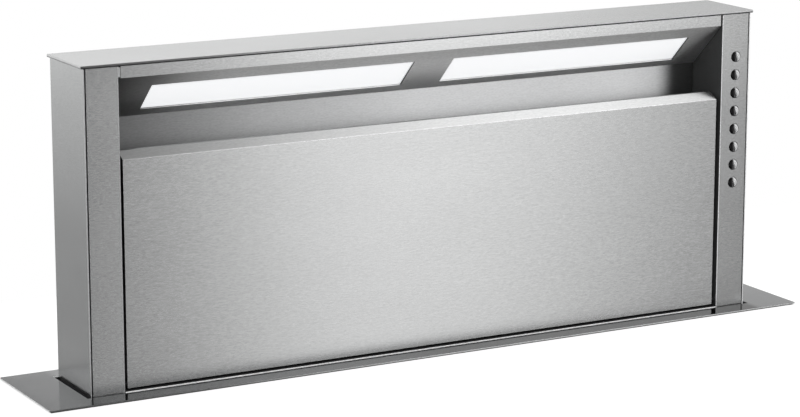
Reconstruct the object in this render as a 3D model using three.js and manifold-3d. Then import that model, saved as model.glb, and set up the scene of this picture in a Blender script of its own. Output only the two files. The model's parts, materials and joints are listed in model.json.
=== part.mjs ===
// A downdraft vent that rises out of a worktop: a slim stainless tower with an air intake, lights and
// push buttons, lifted by two belts out of a housing that hangs under the worktop.
// Millimetres. +X is to the right of someone who faces the buttons, +Y runs to the back and +Z up.
// The origin is under the middle of the unit, at the level of its feet. The tower is modelled raised.
import * as THREE from "three";
import { mergeVertices } from "three/addons/utils/BufferGeometryUtils.js";
import Module from "manifold-3d";

const wasm = await Module();
wasm.setup();

// ---------------------------------------------------------------- driving dimensions

const GAP = 0.3; // left between pieces that touch
const OVERRUN = 1; // how far a cutting shape passes the face that it opens

// Tower
const TOWER_WIDTH = 810;
const TOWER_DEPTH = 88;
const TOWER_RISE = 338; // from the plate's top to the cover's underside
const TOWER_SKIRT = 80; // the length that stays under the plate when the tower is up
const END_WALL_THICKNESS = 1.5;
const FACE_SHEET = 1.5; // the folded sheet that shows
const INNER_SHEET = 1.2; // the folded sheet inside
const COLUMN_WIDTH = 38;
const COLUMN_JOINT = 1.2; // the dark joint between an end wall and a column's face
const COLUMN_FLANGE = 12;

// Trim plate, which lies on the worktop
const PLATE_END_LAP = 18; // past the housing's ends
const PLATE_SIDE_LAP = 16; // past the housing's front and back
const PLATE_THICKNESS = 1.5;
const PLATE_CORNER_RADIUS = 2;
const TAPE_THICKNESS = 1; // pressed flat between the plate and the worktop
const TAPE_INSET = 2; // from the plate's edge
const TAPE_CLEARANCE = 3; // round the housing

// Cover, which closes the slot when the tower is down
const COVER_THICKNESS = 3;
const COVER_END_OVERHANG = 3;
const COVER_CLEARANCE = 1.5; // round the cover in the slot
const COVER_CORNER_RADIUS = 1.5;

// Recess with its lights
const RAIL_HEIGHT = 12.6;
const RAIL_FLANGE = 24;
const RAIL_END_GAP = 2.4;
const RECESS_DEPTH = 56.5;
const LIGHT_PANEL_DROP = 49.4; // from the rail down to the light panel's lower edge
const BACK_WALL_TAB = 14; // how far the back wall runs up behind the light panel
const WINDOW_HEIGHT = 43.4; // along the slope
const WINDOW_SPACING = 48; // between the two windows
const WINDOW_END_MARGIN = 38.7; // from the light panel's ends, on average
const WINDOW_SHIFT = 4; // both windows sit a little to the right, as in the photograph
const WINDOW_MARGIN = 18.6; // from the light panel's top edge
const GLASS_THICKNESS = 4;
const LED_STRIP_WIDTH = 6;
const LED_STRIP_THICKNESS = 3;

// Front panel, which tilts forward on two pins
const PANEL_END_GAP = 4; // the black gap beside the panel
const PANEL_RECESS = 3; // behind the columns' faces
const PANEL_FOOT = 3; // height of its lower edge over the plate
const INTAKE_HEIGHT = 34.6; // from the front face's upper edge to the light panel's lower edge
const PANEL_BEVEL_RISE = 8;
const PANEL_FOLD_DEPTH = 14.7;
const PANEL_LIP = 12;
const HINGE_INSET = 3.4; // from the panel's front face to the pins' axis
const HINGE_LIFT = 4.5; // from the panel's lower edge to the pins' axis
const HINGE_PIN_RADIUS = 1.5;
const HINGE_HEAD_RADIUS = 2.6;
const HINGE_HEAD_LENGTH = 2;
const HINGE_PIN_LENGTH = 10;
const MAGNET_WIDTH = 10;
const MAGNET_DEPTH = 8;
const MAGNET_HEIGHT = 20;
const MAGNET_DROP = 16.5; // under the front face's upper edge

// Bottom rail under the front panel, with the ledge that the filters stand on
const BOTTOM_RAIL_TOP = 0.6; // over the plate
const LEDGE_DEPTH = 32;

// Grease filters
const FILTER_LENGTH = 215;
const FILTER_THICKNESS = 10;
const FILTER_BORDER = 12;
const FILTER_SETBACK = 2.5; // behind the panel, which swings past the filters' feet
const FILTER_MESH_SINK = 1.5; // how far the mesh lies below the frame's faces

// Push buttons
const BUTTON_COUNT = 8;
const BUTTON_PITCH = 20.7;
const BUTTON_DROP = 48.9; // from the cover down to the first button
const BUTTON_RADIUS = 5.75;
const BUTTON_DOME = 1.8;
const BUTTON_PROUD = 0.6; // the straight edge in front of the column
const BUTTON_CLEARANCE = 0.6; // between the buttons and the slot that they pass
const BUTTON_TRAVEL = 1.5;
const BUTTON_FLANGE_RADIUS = 7;
const BUTTON_FLANGE_THICKNESS = 1.2;
const BUTTON_STEM_RADIUS = 2.5;
const BUTTON_STEM_LENGTH = 7;
const BUTTON_GROOVE = 20; // width of the carrier's groove for the flanges
const CARRIER_WIDTH = 29;
const CARRIER_THICKNESS = 9;
const CARRIER_MARGIN = 14; // beyond the first and last button

// Housing under the worktop
const SIDE_CHANNEL = 37; // from the tower's end to the housing's outside
const FACE_CHANNEL = 11; // from the tower's front and back to the housing's outside
const HOUSING_HEIGHT = 555; // from its base to the plate's underside
const HOUSING_SHEET = 1.2;
const FOOT_HEIGHT = 45;
const FOOT_WIDTH = 60;
const FOOT_FLANGE = 20;
const FOOT_SHEET = 2;
const FOOT_INSET = 30; // from the housing's ends
const SEAL_THICKNESS = 2.5;
const SEAL_CLEARANCE = 0.7; // at the tower's ends
const SEAL_WIDTH = 5;
const FRAME_THICKNESS = 2.2;
const FRAME_CLEARANCE = 2; // at the tower's ends

// Duct spigot under the base
const DUCT_WIDTH = 222;
const DUCT_DEPTH = 88;
const DUCT_WALL = 2;
const DUCT_LENGTH = 34;
const DUCT_FLANGE = 8;

// Lift: two toothed belts in the side channels, driven by one cross shaft
const SHAFT_RADIUS = 5;
const SHAFT_HEIGHT = 50; // over the base's underside
const BELT_OFFSET = 26; // from the unit's middle plane to the pulleys' axis
const BELT_WIDTH = 9;
const BELT_THICKNESS = 1.5;
const BELT_FROM_WALL = 6.3; // from the housing's inner face to the belt
const PULLEY_RADIUS = 14;
const PULLEY_FLANGE_HEIGHT = 3;
const PULLEY_FLANGE_WIDTH = 1.2;
const PULLEY_PLAY = 0.3; // beside the belt
const IDLER_DROP = 30; // from the plate's top to the upper pulleys' axis
const IDLER_AXLE_RADIUS = 4;
const IDLER_PLATE_THICKNESS = 2.4;
const IDLER_PLATE_SIZE = 34;
const BEARING_WIDTH = 10;
const BEARING_RADIUS = 11;
const BEARING_FROM_PULLEY = 6;
const RAIL_PROFILE_WIDTH = 20;
const RAIL_PROFILE_DEPTH = 12;
const RAIL_PROFILE_WALL = 2;
const RAIL_PROFILE_OFFSET = -24; // from the unit's middle plane to the guide rails
const RAIL_PROFILE_FOOT = 55; // over the base's underside
const SHOE_PLAY = 0.4;
const SHOE_HEIGHT = 58;
const SHOE_WIDTH = 38;
const CLAMP_HEIGHT = 28;
const CLAMP_WIDTH = 18;
const CLAMP_WALL = 3;
const BEAM_HEIGHT = 25;
const BEAM_WALL = 2;
const GEARBOX_WIDTH = 52;
const GEARBOX_DEPTH = 76;
const GEARBOX_HEIGHT = 78;
const GEARBOX_REAR = 19; // behind the shaft's axis
const GEARBOX_FROM_BEARING = 36;
const MOTOR_RADIUS = 26;
const MOTOR_LENGTH = 120;
const MOTOR_SETBACK = 34; // from the shaft's axis towards the front
const MOTOR_DROP = 10; // under the shaft's axis

// Electrics
const CONTROL_BOX_WIDTH = 140;
const CONTROL_BOX_DEPTH = 54;
const CONTROL_BOX_HEIGHT = 48;
const GLAND_RADIUS = 6;
const GLAND_FLANGE_RADIUS = 10;
const GLAND_FLANGE_LENGTH = 4;
const GLAND_BORE_RADIUS = 3.5;
const GLAND_HEIGHT = 30; // over the base's underside
const GLAND_OFFSET = -24; // from the unit's middle plane

// ---------------------------------------------------------------- derived sizes

const plateUnderside = FOOT_HEIGHT + HOUSING_HEIGHT;
const plateTop = plateUnderside + PLATE_THICKNESS;

// The tower's own heights are counted from the plate's top
const towerBottom = -TOWER_SKIRT;
const towerTop = TOWER_RISE - GAP;
const front = -TOWER_DEPTH / 2;
const back = TOWER_DEPTH / 2;
const towerHalf = TOWER_WIDTH / 2;
const lightPanelFoot = TOWER_RISE - RAIL_HEIGHT - LIGHT_PANEL_DROP;
const panelTop = lightPanelFoot - INTAKE_HEIGHT;
const endWallInside = towerHalf - END_WALL_THICKNESS;
const recessHalf = towerHalf - COLUMN_WIDTH;
const rearInside = back - FACE_SHEET;
const backWall = front + RECESS_DEPTH;
const coverWidth = TOWER_WIDTH + 2 * COVER_END_OVERHANG;
const slotWidth = coverWidth + 2 * COVER_CLEARANCE;
const slotDepth = TOWER_DEPTH + 2 * (BUTTON_PROUD + BUTTON_DOME + BUTTON_CLEARANCE);
const coverDepth = slotDepth - 2 * COVER_CLEARANCE;
const columnMiddle = towerHalf - COLUMN_WIDTH / 2;
const filterFoot = front + PANEL_RECESS + PANEL_FOLD_DEPTH + FILTER_SETBACK;

const housingHalf = towerHalf + SIDE_CHANNEL;
const housingBack = back + FACE_CHANNEL;
const housingInside = housingHalf - HOUSING_SHEET;
const housingInsideDepth = housingBack - HOUSING_SHEET;
const plateWidth = 2 * (housingHalf + PLATE_END_LAP);
const plateDepth = 2 * (housingBack + PLATE_SIDE_LAP);
const baseTop = FOOT_HEIGHT + HOUSING_SHEET;
const wallTop = plateUnderside - GAP;
const sealTop = plateTop - COVER_THICKNESS - GAP;
const frameTop = sealTop - SEAL_THICKNESS - GAP;
const frameBottom = frameTop - FRAME_THICKNESS;

const shaftZ = FOOT_HEIGHT + SHAFT_HEIGHT;
const idlerZ = plateTop - IDLER_DROP;
const beltOuter = housingInside - BELT_FROM_WALL;
const beltInner = beltOuter - BELT_WIDTH;
const beltRadius = PULLEY_RADIUS + GAP;
const frontRun = BELT_OFFSET - beltRadius - BELT_THICKNESS;
const pulleyInner = beltInner - PULLEY_PLAY - PULLEY_FLANGE_WIDTH;
const pulleyOuter = beltOuter + PULLEY_PLAY + PULLEY_FLANGE_WIDTH;
const bearingOuter = pulleyInner - BEARING_FROM_PULLEY;
const gearboxOuter = bearingOuter - BEARING_WIDTH - GEARBOX_FROM_BEARING;
const railInner = housingInside - GAP - RAIL_PROFILE_DEPTH;

// ---------------------------------------------------------------- materials

function finish(color, roughness, metalness) {
  return new THREE.MeshStandardMaterial({ color, roughness, metalness });
}

const brushedSteel = finish(0xb9bbba, 0.34, 1);
const plateSteel = finish(0x9a9c9d, 0.2, 1);
const innerSteel = finish(0x8f9192, 0.4, 1);
const polishedSteel = finish(0xd2d4d5, 0.08, 1);
const zincSteel = finish(0xa9adb0, 0.5, 1);
const darkSteel = finish(0x4d5052, 0.45, 1);
const filterMetal = finish(0xb4b8bb, 0.4, 1);
const lampGlass = finish(0xf3f4f6, 0.3, 0);
const blackRubber = finish(0x16171a, 0.8, 0);
const blackPlastic = finish(0x222427, 0.55, 0);
const greyPlastic = finish(0x6d7073, 0.6, 0);
const whiteBoard = finish(0xe8e8e2, 0.6, 0);

// ---------------------------------------------------------------- shape helpers

const X = new THREE.Vector3(1, 0, 0);
const Y = new THREE.Vector3(0, 1, 0);
const Z = new THREE.Vector3(0, 0, 1);

// A box between its lowest and highest corners.
function block([x0, y0, z0], [x1, y1, z1]) {
  const box = new THREE.BoxGeometry(x1 - x0, y1 - y0, z1 - z0);
  return box.translate((x0 + x1) / 2, (y0 + y1) / 2, (z0 + z1) / 2);
}

function outline(points) {
  return new THREE.Shape(points.map(([a, b]) => new THREE.Vector2(a, b)));
}

// A rectangle with round corners about the origin.
function roundedRectangle(width, depth, radius) {
  const w = width / 2 - radius;
  const d = depth / 2 - radius;
  const shape = new THREE.Shape();
  shape.absarc(w, -d, radius, -Math.PI / 2, 0);
  shape.absarc(w, d, radius, 0, Math.PI / 2);
  shape.absarc(-w, d, radius, Math.PI / 2, Math.PI);
  shape.absarc(-w, -d, radius, Math.PI, 1.5 * Math.PI);
  return shape;
}

function rectangle(width, depth) {
  const w = width / 2;
  const d = depth / 2;
  return outline([[-w, -d], [w, -d], [w, d], [-w, d]]);
}

// Extrudes a shape drawn in X and Y from z0 to z1.
function alongZ(shape, z0, z1, curveSegments = 4) {
  const options = { depth: z1 - z0, bevelEnabled: false, curveSegments };
  return new THREE.ExtrudeGeometry(shape, options).translate(0, 0, z0);
}

// Extrudes a shape drawn in Y and Z from x0 to x1.
function alongX(shape, x0, x1, curveSegments = 12) {
  const options = { depth: x1 - x0, bevelEnabled: false, curveSegments };
  const geometry = new THREE.ExtrudeGeometry(shape, options);
  geometry.applyMatrix4(new THREE.Matrix4().makeBasis(Y, Z, X));
  return geometry.translate(x0, 0, 0);
}

// Extrudes a shape drawn in X and Z from y0 to y1.
function alongY(shape, y0, y1) {
  const options = { depth: y1 - y0, bevelEnabled: false };
  const geometry = new THREE.ExtrudeGeometry(shape, options);
  geometry.applyMatrix4(new THREE.Matrix4().makeBasis(X, Z, Y.clone().negate()));
  return geometry.translate(0, y1, 0);
}

// Turns a profile of [radius, height] points about the Y axis.
function turned(profile, segments) {
  const points = profile.map(([radius, height]) => new THREE.Vector2(radius, height));
  return new THREE.LatheGeometry(points, segments);
}

// A round bar along X.
function barAlongX(radius, x0, x1, y, z, segments = 20) {
  const bar = new THREE.CylinderGeometry(radius, radius, x1 - x0, segments);
  bar.rotateZ(-Math.PI / 2);
  return bar.translate((x0 + x1) / 2, y, z);
}

function toSolid(geometry) {
  const bare = geometry.clone();
  bare.deleteAttribute("normal");
  bare.deleteAttribute("uv");
  const merged = mergeVertices(bare, 1e-4);
  const vertProperties = new Float32Array(merged.attributes.position.array);
  const triVerts = new Uint32Array(merged.index.array);
  return new wasm.Manifold(new wasm.Mesh({ numProp: 3, vertProperties, triVerts }));
}

function toGeometry(solid) {
  const { vertProperties, triVerts } = solid.getMesh();
  const geometry = new THREE.BufferGeometry();
  geometry.setAttribute("position", new THREE.BufferAttribute(vertProperties, 3));
  geometry.setIndex(new THREE.BufferAttribute(triVerts, 1));
  geometry.computeVertexNormals();
  return geometry;
}

function cut(geometry, ...tools) {
  const rest = tools.reduce((solid, tool) => solid.subtract(toSolid(tool)), toSolid(geometry));
  return toGeometry(rest);
}

function join(first, ...others) {
  const whole = others.reduce((solid, other) => solid.add(toSolid(other)), toSolid(first));
  return toGeometry(whole);
}

function piece(group, name, material, geometry) {
  const mesh = new THREE.Mesh(geometry, material);
  mesh.name = name;
  group.add(mesh);
  return mesh;
}

// A piece on the right and its mirror image on the left.
function pair(group, name, material, geometry) {
  piece(group, `${name}_right`, material, geometry);
  piece(group, `${name}_left`, material, geometry).scale.x = -1;
}

// ---------------------------------------------------------------- groups

const vent = new THREE.Group();
const housing = new THREE.Group();
const lift = new THREE.Group();
const tower = new THREE.Group();
tower.position.z = plateTop;
vent.add(housing, lift, tower);

// ---------------------------------------------------------------- worktop level

function addTrimPlate() {
  const plate = roundedRectangle(plateWidth, plateDepth, PLATE_CORNER_RADIUS);
  plate.holes.push(rectangle(slotWidth, slotDepth));
  piece(housing, "trim_plate", plateSteel, alongZ(plate, plateUnderside, plateTop));
}

// Sealing tape between the plate's rim and the worktop.
function addRimTape() {
  const tape = rectangle(plateWidth - 2 * TAPE_INSET, plateDepth - 2 * TAPE_INSET);
  const inside = housingBack + TAPE_CLEARANCE;
  tape.holes.push(rectangle(2 * (housingHalf + TAPE_CLEARANCE), 2 * inside));
  const top = plateUnderside - GAP;
  piece(housing, "rim_tape", blackRubber, alongZ(tape, top - TAPE_THICKNESS, top));
}

// The cover lands on a rubber seal, which a steel frame carries between the housing's walls.
function addSlotSealAndFrame() {
  const opening = TOWER_WIDTH + 2 * SEAL_CLEARANCE;
  const seal = rectangle(opening + 2 * SEAL_WIDTH, slotDepth + 2 * SEAL_WIDTH);
  seal.holes.push(rectangle(opening, slotDepth));
  piece(housing, "slot_seal", blackRubber, alongZ(seal, sealTop - SEAL_THICKNESS, sealTop));

  const frame = rectangle(2 * (housingInside - GAP), 2 * (housingInsideDepth - GAP));
  frame.holes.push(rectangle(TOWER_WIDTH + 2 * FRAME_CLEARANCE, slotDepth));
  piece(housing, "slot_frame", zincSteel, alongZ(frame, frameBottom, frameTop));
}

// ---------------------------------------------------------------- housing

function addHousingWalls() {
  const face = block(
    [-housingHalf, housingInsideDepth, FOOT_HEIGHT],
    [housingHalf, housingBack, wallTop],
  );
  piece(housing, "housing_rear", zincSteel, face);
  piece(housing, "housing_front", zincSteel, face).position.y = -(housingInsideDepth + housingBack);

  const side = housingInsideDepth - GAP;
  const end = block([housingInside, -side, FOOT_HEIGHT], [housingHalf, side, wallTop]);
  piece(housing, "housing_right", zincSteel, end);
  const glandZ = FOOT_HEIGHT + GLAND_HEIGHT;
  const glandHole = barAlongX(
    GLAND_RADIUS + GAP, housingInside - OVERRUN, housingHalf + OVERRUN, GLAND_OFFSET, glandZ);
  piece(housing, "housing_left", zincSteel, cut(end, glandHole)).scale.x = -1;

  const base = rectangle(2 * (housingInside - GAP), 2 * side);
  base.holes.push(rectangle(DUCT_WIDTH - 2 * DUCT_WALL, DUCT_DEPTH - 2 * DUCT_WALL));
  piece(housing, "housing_base", zincSteel, alongZ(base, FOOT_HEIGHT, baseTop));
}

// A flat duct slips over this rectangular spigot under the base.
function addDuctSpigot() {
  const innerWidth = DUCT_WIDTH - 2 * DUCT_WALL;
  const innerDepth = DUCT_DEPTH - 2 * DUCT_WALL;
  const top = FOOT_HEIGHT - GAP;
  const sleeve = rectangle(DUCT_WIDTH, DUCT_DEPTH);
  sleeve.holes.push(rectangle(innerWidth, innerDepth));
  const flange = rectangle(DUCT_WIDTH + 2 * DUCT_FLANGE, DUCT_DEPTH + 2 * DUCT_FLANGE);
  flange.holes.push(rectangle(innerWidth, innerDepth));
  const spigot = join(alongZ(sleeve, top - DUCT_LENGTH, top), alongZ(flange, top - DUCT_WALL, top));
  piece(housing, "duct_spigot", zincSteel, spigot);
}

// Each foot is a folded hat profile across the housing's depth.
function addFeet() {
  const top = FOOT_HEIGHT - GAP;
  const outer = housingHalf - FOOT_INSET;
  const inner = outer - FOOT_WIDTH;
  const hat = outline([
    [inner - FOOT_FLANGE, 0],
    [inner + FOOT_SHEET, 0],
    [inner + FOOT_SHEET, top - FOOT_SHEET],
    [outer - FOOT_SHEET, top - FOOT_SHEET],
    [outer - FOOT_SHEET, 0],
    [outer + FOOT_FLANGE, 0],
    [outer + FOOT_FLANGE, FOOT_SHEET],
    [outer, FOOT_SHEET],
    [outer, top],
    [inner, top],
    [inner, FOOT_SHEET],
    [inner - FOOT_FLANGE, FOOT_SHEET],
  ]);
  pair(housing, "foot", zincSteel, alongY(hat, -housingBack, housingBack));
}

// ---------------------------------------------------------------- lift

function addGuideRails() {
  const outer = housingInside - GAP;
  const half = RAIL_PROFILE_WIDTH / 2;
  const channel = cut(
    block(
      [railInner, RAIL_PROFILE_OFFSET - half, FOOT_HEIGHT + RAIL_PROFILE_FOOT],
      [outer, RAIL_PROFILE_OFFSET + half, frameBottom - GAP],
    ),
    block(
      [railInner - OVERRUN, RAIL_PROFILE_OFFSET - half + RAIL_PROFILE_WALL, 0],
      [outer - RAIL_PROFILE_WALL, RAIL_PROFILE_OFFSET + half - RAIL_PROFILE_WALL, plateTop],
    ),
  );
  pair(lift, "guide_rail", darkSteel, channel);
}

// A closed belt round the two pulleys of one side.
function addBelts() {
  const loop = (radius) => {
    const shape = new THREE.Shape();
    shape.absarc(BELT_OFFSET, idlerZ, radius, 0, Math.PI);
    shape.absarc(BELT_OFFSET, shaftZ, radius, Math.PI, 2 * Math.PI);
    return shape;
  };
  const belt = loop(beltRadius + BELT_THICKNESS);
  belt.holes.push(loop(beltRadius));
  pair(lift, "lift_belt", blackRubber, alongX(belt, beltInner, beltOuter, 14));
}

// A flanged pulley that keeps the belt on its track, with its bore for a shaft or axle.
function pulley(boreRadius) {
  const rim = PULLEY_RADIUS + PULLEY_FLANGE_HEIGHT;
  const bore = boreRadius + GAP;
  const wheel = turned([
    [bore, pulleyInner],
    [rim, pulleyInner],
    [rim, pulleyInner + PULLEY_FLANGE_WIDTH],
    [PULLEY_RADIUS, pulleyInner + PULLEY_FLANGE_WIDTH],
    [PULLEY_RADIUS, pulleyOuter - PULLEY_FLANGE_WIDTH],
    [rim, pulleyOuter - PULLEY_FLANGE_WIDTH],
    [rim, pulleyOuter],
    [bore, pulleyOuter],
    [bore, pulleyInner],
  ], 28);
  return wheel.rotateZ(-Math.PI / 2);
}

function addShaftAndPulleys() {
  const shaft = barAlongX(SHAFT_RADIUS, -pulleyOuter, pulleyOuter, BELT_OFFSET, shaftZ, 24);
  piece(lift, "drive_shaft", polishedSteel, shaft);
  const drive = pulley(SHAFT_RADIUS).translate(0, BELT_OFFSET, shaftZ);
  pair(lift, "drive_pulley", darkSteel, drive);
  const idler = pulley(IDLER_AXLE_RADIUS).translate(0, BELT_OFFSET, idlerZ);
  pair(lift, "idler_pulley", darkSteel, idler);
}

// A plate on the housing's end wall with the upper pulley's axle.
function addIdlerBrackets() {
  const outer = housingInside - GAP;
  const half = IDLER_PLATE_SIZE / 2;
  const plate = block(
    [outer - IDLER_PLATE_THICKNESS, BELT_OFFSET - half, idlerZ - half],
    [outer, BELT_OFFSET + half, idlerZ + half],
  );
  const axle = barAlongX(
    IDLER_AXLE_RADIUS, pulleyInner, outer - IDLER_PLATE_THICKNESS / 2, BELT_OFFSET, idlerZ);
  pair(lift, "idler_bracket", zincSteel, join(plate, axle));
}

// Pillow blocks on the base carry the cross shaft beside its pulleys.
function addShaftBearings() {
  const shape = new THREE.Shape();
  shape.moveTo(BELT_OFFSET - BEARING_RADIUS, baseTop + GAP);
  shape.lineTo(BELT_OFFSET + BEARING_RADIUS, baseTop + GAP);
  shape.absarc(BELT_OFFSET, shaftZ, BEARING_RADIUS, 0, Math.PI);
  const bore = new THREE.Path();
  bore.absarc(BELT_OFFSET, shaftZ, SHAFT_RADIUS + GAP, 0, 2 * Math.PI);
  shape.holes.push(bore);
  pair(lift, "shaft_bearing", darkSteel, alongX(shape, bearingOuter - BEARING_WIDTH, bearingOuter));
}

// The gearbox stands on the base round the shaft, and the motor is screwed to its side.
function addGearMotor() {
  const inner = gearboxOuter - GEARBOX_WIDTH;
  const rear = BELT_OFFSET + GEARBOX_REAR;
  const bottom = baseTop + GAP;
  const body = block(
    [inner, rear - GEARBOX_DEPTH, bottom],
    [gearboxOuter, rear, bottom + GEARBOX_HEIGHT],
  );
  const bore = barAlongX(
    SHAFT_RADIUS + GAP, inner - OVERRUN, gearboxOuter + OVERRUN, BELT_OFFSET, shaftZ, 24);
  const motorY = BELT_OFFSET - MOTOR_SETBACK;
  const motorZ = shaftZ - MOTOR_DROP;
  const motor = barAlongX(MOTOR_RADIUS, inner - MOTOR_LENGTH, inner + OVERRUN, motorY, motorZ, 28);
  piece(lift, "lift_gear_motor", darkSteel, join(cut(body, bore), motor));
}

// ---------------------------------------------------------------- electrics in the housing

function addControlBox() {
  const outer = -(housingInside - GAP);
  const half = CONTROL_BOX_DEPTH / 2;
  const bottom = baseTop + GAP;
  const box = block(
    [outer, GLAND_OFFSET - half, bottom],
    [outer + CONTROL_BOX_WIDTH, GLAND_OFFSET + half, bottom + CONTROL_BOX_HEIGHT],
  );
  const entryEnd = outer + GLAND_FLANGE_LENGTH + GAP;
  const entryZ = FOOT_HEIGHT + GLAND_HEIGHT;
  const entry = barAlongX(GLAND_RADIUS + GAP, outer - OVERRUN, entryEnd, GLAND_OFFSET, entryZ);
  piece(housing, "control_box", greyPlastic, cut(box, entry));
}

// The mains lead would enter through this gland in the left wall.
function addCableGland() {
  const body = HOUSING_SHEET + GAP + GLAND_FLANGE_LENGTH;
  const gland = turned([
    [GLAND_BORE_RADIUS, -body],
    [GLAND_RADIUS, -body],
    [GLAND_RADIUS, GAP],
    [GLAND_FLANGE_RADIUS, GAP],
    [GLAND_FLANGE_RADIUS, GAP + GLAND_FLANGE_LENGTH],
    [GLAND_BORE_RADIUS, GAP + GLAND_FLANGE_LENGTH],
    [GLAND_BORE_RADIUS, -body],
  ], 24);
  gland.rotateZ(Math.PI / 2);
  const mesh = piece(housing, "cable_gland", blackPlastic, gland);
  mesh.position.set(-housingHalf, GLAND_OFFSET, FOOT_HEIGHT + GLAND_HEIGHT);
}

// ---------------------------------------------------------------- tower shell

function addCover() {
  const plan = roundedRectangle(coverWidth, coverDepth, COVER_CORNER_RADIUS);
  const cover = alongZ(plan, TOWER_RISE, TOWER_RISE + COVER_THICKNESS);
  piece(tower, "top_cover", brushedSteel, cover);
}

function addEndWalls() {
  const wall = block([endWallInside, front, towerBottom], [towerHalf, back, towerTop]);
  pair(tower, "end_wall", brushedSteel, wall);
}

function buttonHeight(index) {
  return TOWER_RISE - BUTTON_DROP - index * BUTTON_PITCH;
}

// Each column is a folded channel: its face, the recess's cheek and two stiffening flanges.
function addColumns() {
  const outer = endWallInside - COLUMN_JOINT;
  const rear = rearInside - GAP;
  const plan = outline([
    [recessHalf, front],
    [outer, front],
    [outer, front + COLUMN_FLANGE],
    [outer - FACE_SHEET, front + COLUMN_FLANGE],
    [outer - FACE_SHEET, front + FACE_SHEET],
    [recessHalf + FACE_SHEET, front + FACE_SHEET],
    [recessHalf + FACE_SHEET, rear - FACE_SHEET],
    [recessHalf + COLUMN_FLANGE, rear - FACE_SHEET],
    [recessHalf + COLUMN_FLANGE, rear],
    [recessHalf, rear],
  ]);
  const column = alongZ(plan, towerBottom, towerTop);
  const radius = BUTTON_RADIUS + GAP;
  const holes = [];
  for (let i = 0; i < BUTTON_COUNT; i++) {
    const hole = new THREE.CylinderGeometry(radius, radius, 2 * (FACE_SHEET + OVERRUN), 24);
    holes.push(hole.translate(columnMiddle, front, buttonHeight(i)));
  }
  piece(tower, "column_left", brushedSteel, column).scale.x = -1;
  piece(tower, "column_right", brushedSteel, cut(column, ...holes));
}

function addRearPanel() {
  const half = endWallInside - GAP;
  const panel = block([-half, rearInside, towerBottom], [half, back, towerTop]);
  piece(tower, "rear_panel", brushedSteel, panel);
}

// The rail under the cover: its face and a flange that the cover is fixed to.
function addFasciaRail() {
  const half = recessHalf - RAIL_END_GAP;
  const bottom = TOWER_RISE - RAIL_HEIGHT;
  const profile = outline([
    [front, bottom],
    [front + FACE_SHEET, bottom],
    [front + FACE_SHEET, towerTop - FACE_SHEET],
    [front + RAIL_FLANGE, towerTop - FACE_SHEET],
    [front + RAIL_FLANGE, towerTop],
    [front, towerTop],
  ]);
  piece(tower, "fascia_rail", brushedSteel, alongX(profile, -half, half));
}

function addBackWall() {
  const half = recessHalf - GAP;
  const top = lightPanelFoot + BACK_WALL_TAB;
  const wall = block([-half, backWall, towerBottom], [half, backWall + INNER_SHEET, top]);
  piece(tower, "recess_back_wall", innerSteel, wall);
}

// The sheet below the front panel, folded back into the ledge that the filters stand on.
function addBottomRail() {
  const half = recessHalf - GAP;
  const profile = outline([
    [front, towerBottom],
    [front + FACE_SHEET, towerBottom],
    [front + FACE_SHEET, BOTTOM_RAIL_TOP - FACE_SHEET],
    [front + LEDGE_DEPTH, BOTTOM_RAIL_TOP - FACE_SHEET],
    [front + LEDGE_DEPTH, BOTTOM_RAIL_TOP],
    [front, BOTTOM_RAIL_TOP],
  ]);
  piece(tower, "bottom_rail", brushedSteel, alongX(profile, -half, half));
}

// A channel behind the back wall ties the two columns at the tower's foot.
function addCarriageBeam() {
  const half = recessHalf - GAP;
  const y0 = backWall + INNER_SHEET + GAP;
  const y1 = rearInside - GAP;
  const top = towerBottom + BEAM_HEIGHT;
  const bar = block([-half, y0, towerBottom], [half, y1, top]);
  const channel = block(
    [-half - OVERRUN, y0 + BEAM_WALL, towerBottom - OVERRUN],
    [half + OVERRUN, y1 - BEAM_WALL, top - BEAM_WALL],
  );
  piece(tower, "carriage_beam", zincSteel, cut(bar, channel));
}

// A plastic shoe on each end wall: a tongue in the guide rail and an arm that grips the belt.
function addGuideShoes() {
  const inner = towerHalf + GAP;
  const outer = railInner - 2 * GAP;
  const tongueEnd = housingInside - GAP - RAIL_PROFILE_WALL - SHOE_PLAY;
  const y = RAIL_PROFILE_OFFSET;
  const half = SHOE_WIDTH / 2;
  const tongueHalf = RAIL_PROFILE_WIDTH / 2 - RAIL_PROFILE_WALL - SHOE_PLAY;
  const top = towerBottom + SHOE_HEIGHT;
  const body = block([inner, y - half, towerBottom], [outer, y + half, top]);
  const tongue = block([inner, y - tongueHalf, towerBottom], [tongueEnd, y + tongueHalf, top]);

  const beltMiddle = frontRun + BELT_THICKNESS / 2;
  const clampHalf = CLAMP_WIDTH / 2;
  const clampTop = towerBottom + CLAMP_HEIGHT;
  const clampEnd = beltOuter + GAP + CLAMP_WALL;
  const arm = block([inner, y, towerBottom], [clampEnd, beltMiddle + clampHalf, clampTop]);
  const armRelief = block(
    [outer, y - half - OVERRUN, towerBottom - OVERRUN],
    [clampEnd + OVERRUN, beltMiddle - clampHalf, clampTop + OVERRUN],
  );
  const beltSlot = block(
    [beltInner - GAP, frontRun - GAP, towerBottom - OVERRUN],
    [beltOuter + GAP, frontRun + BELT_THICKNESS + GAP, clampTop + OVERRUN],
  );
  pair(tower, "guide_shoe", blackPlastic, join(cut(join(body, arm), armRelief, beltSlot), tongue));
}

// ---------------------------------------------------------------- recess lights

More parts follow.
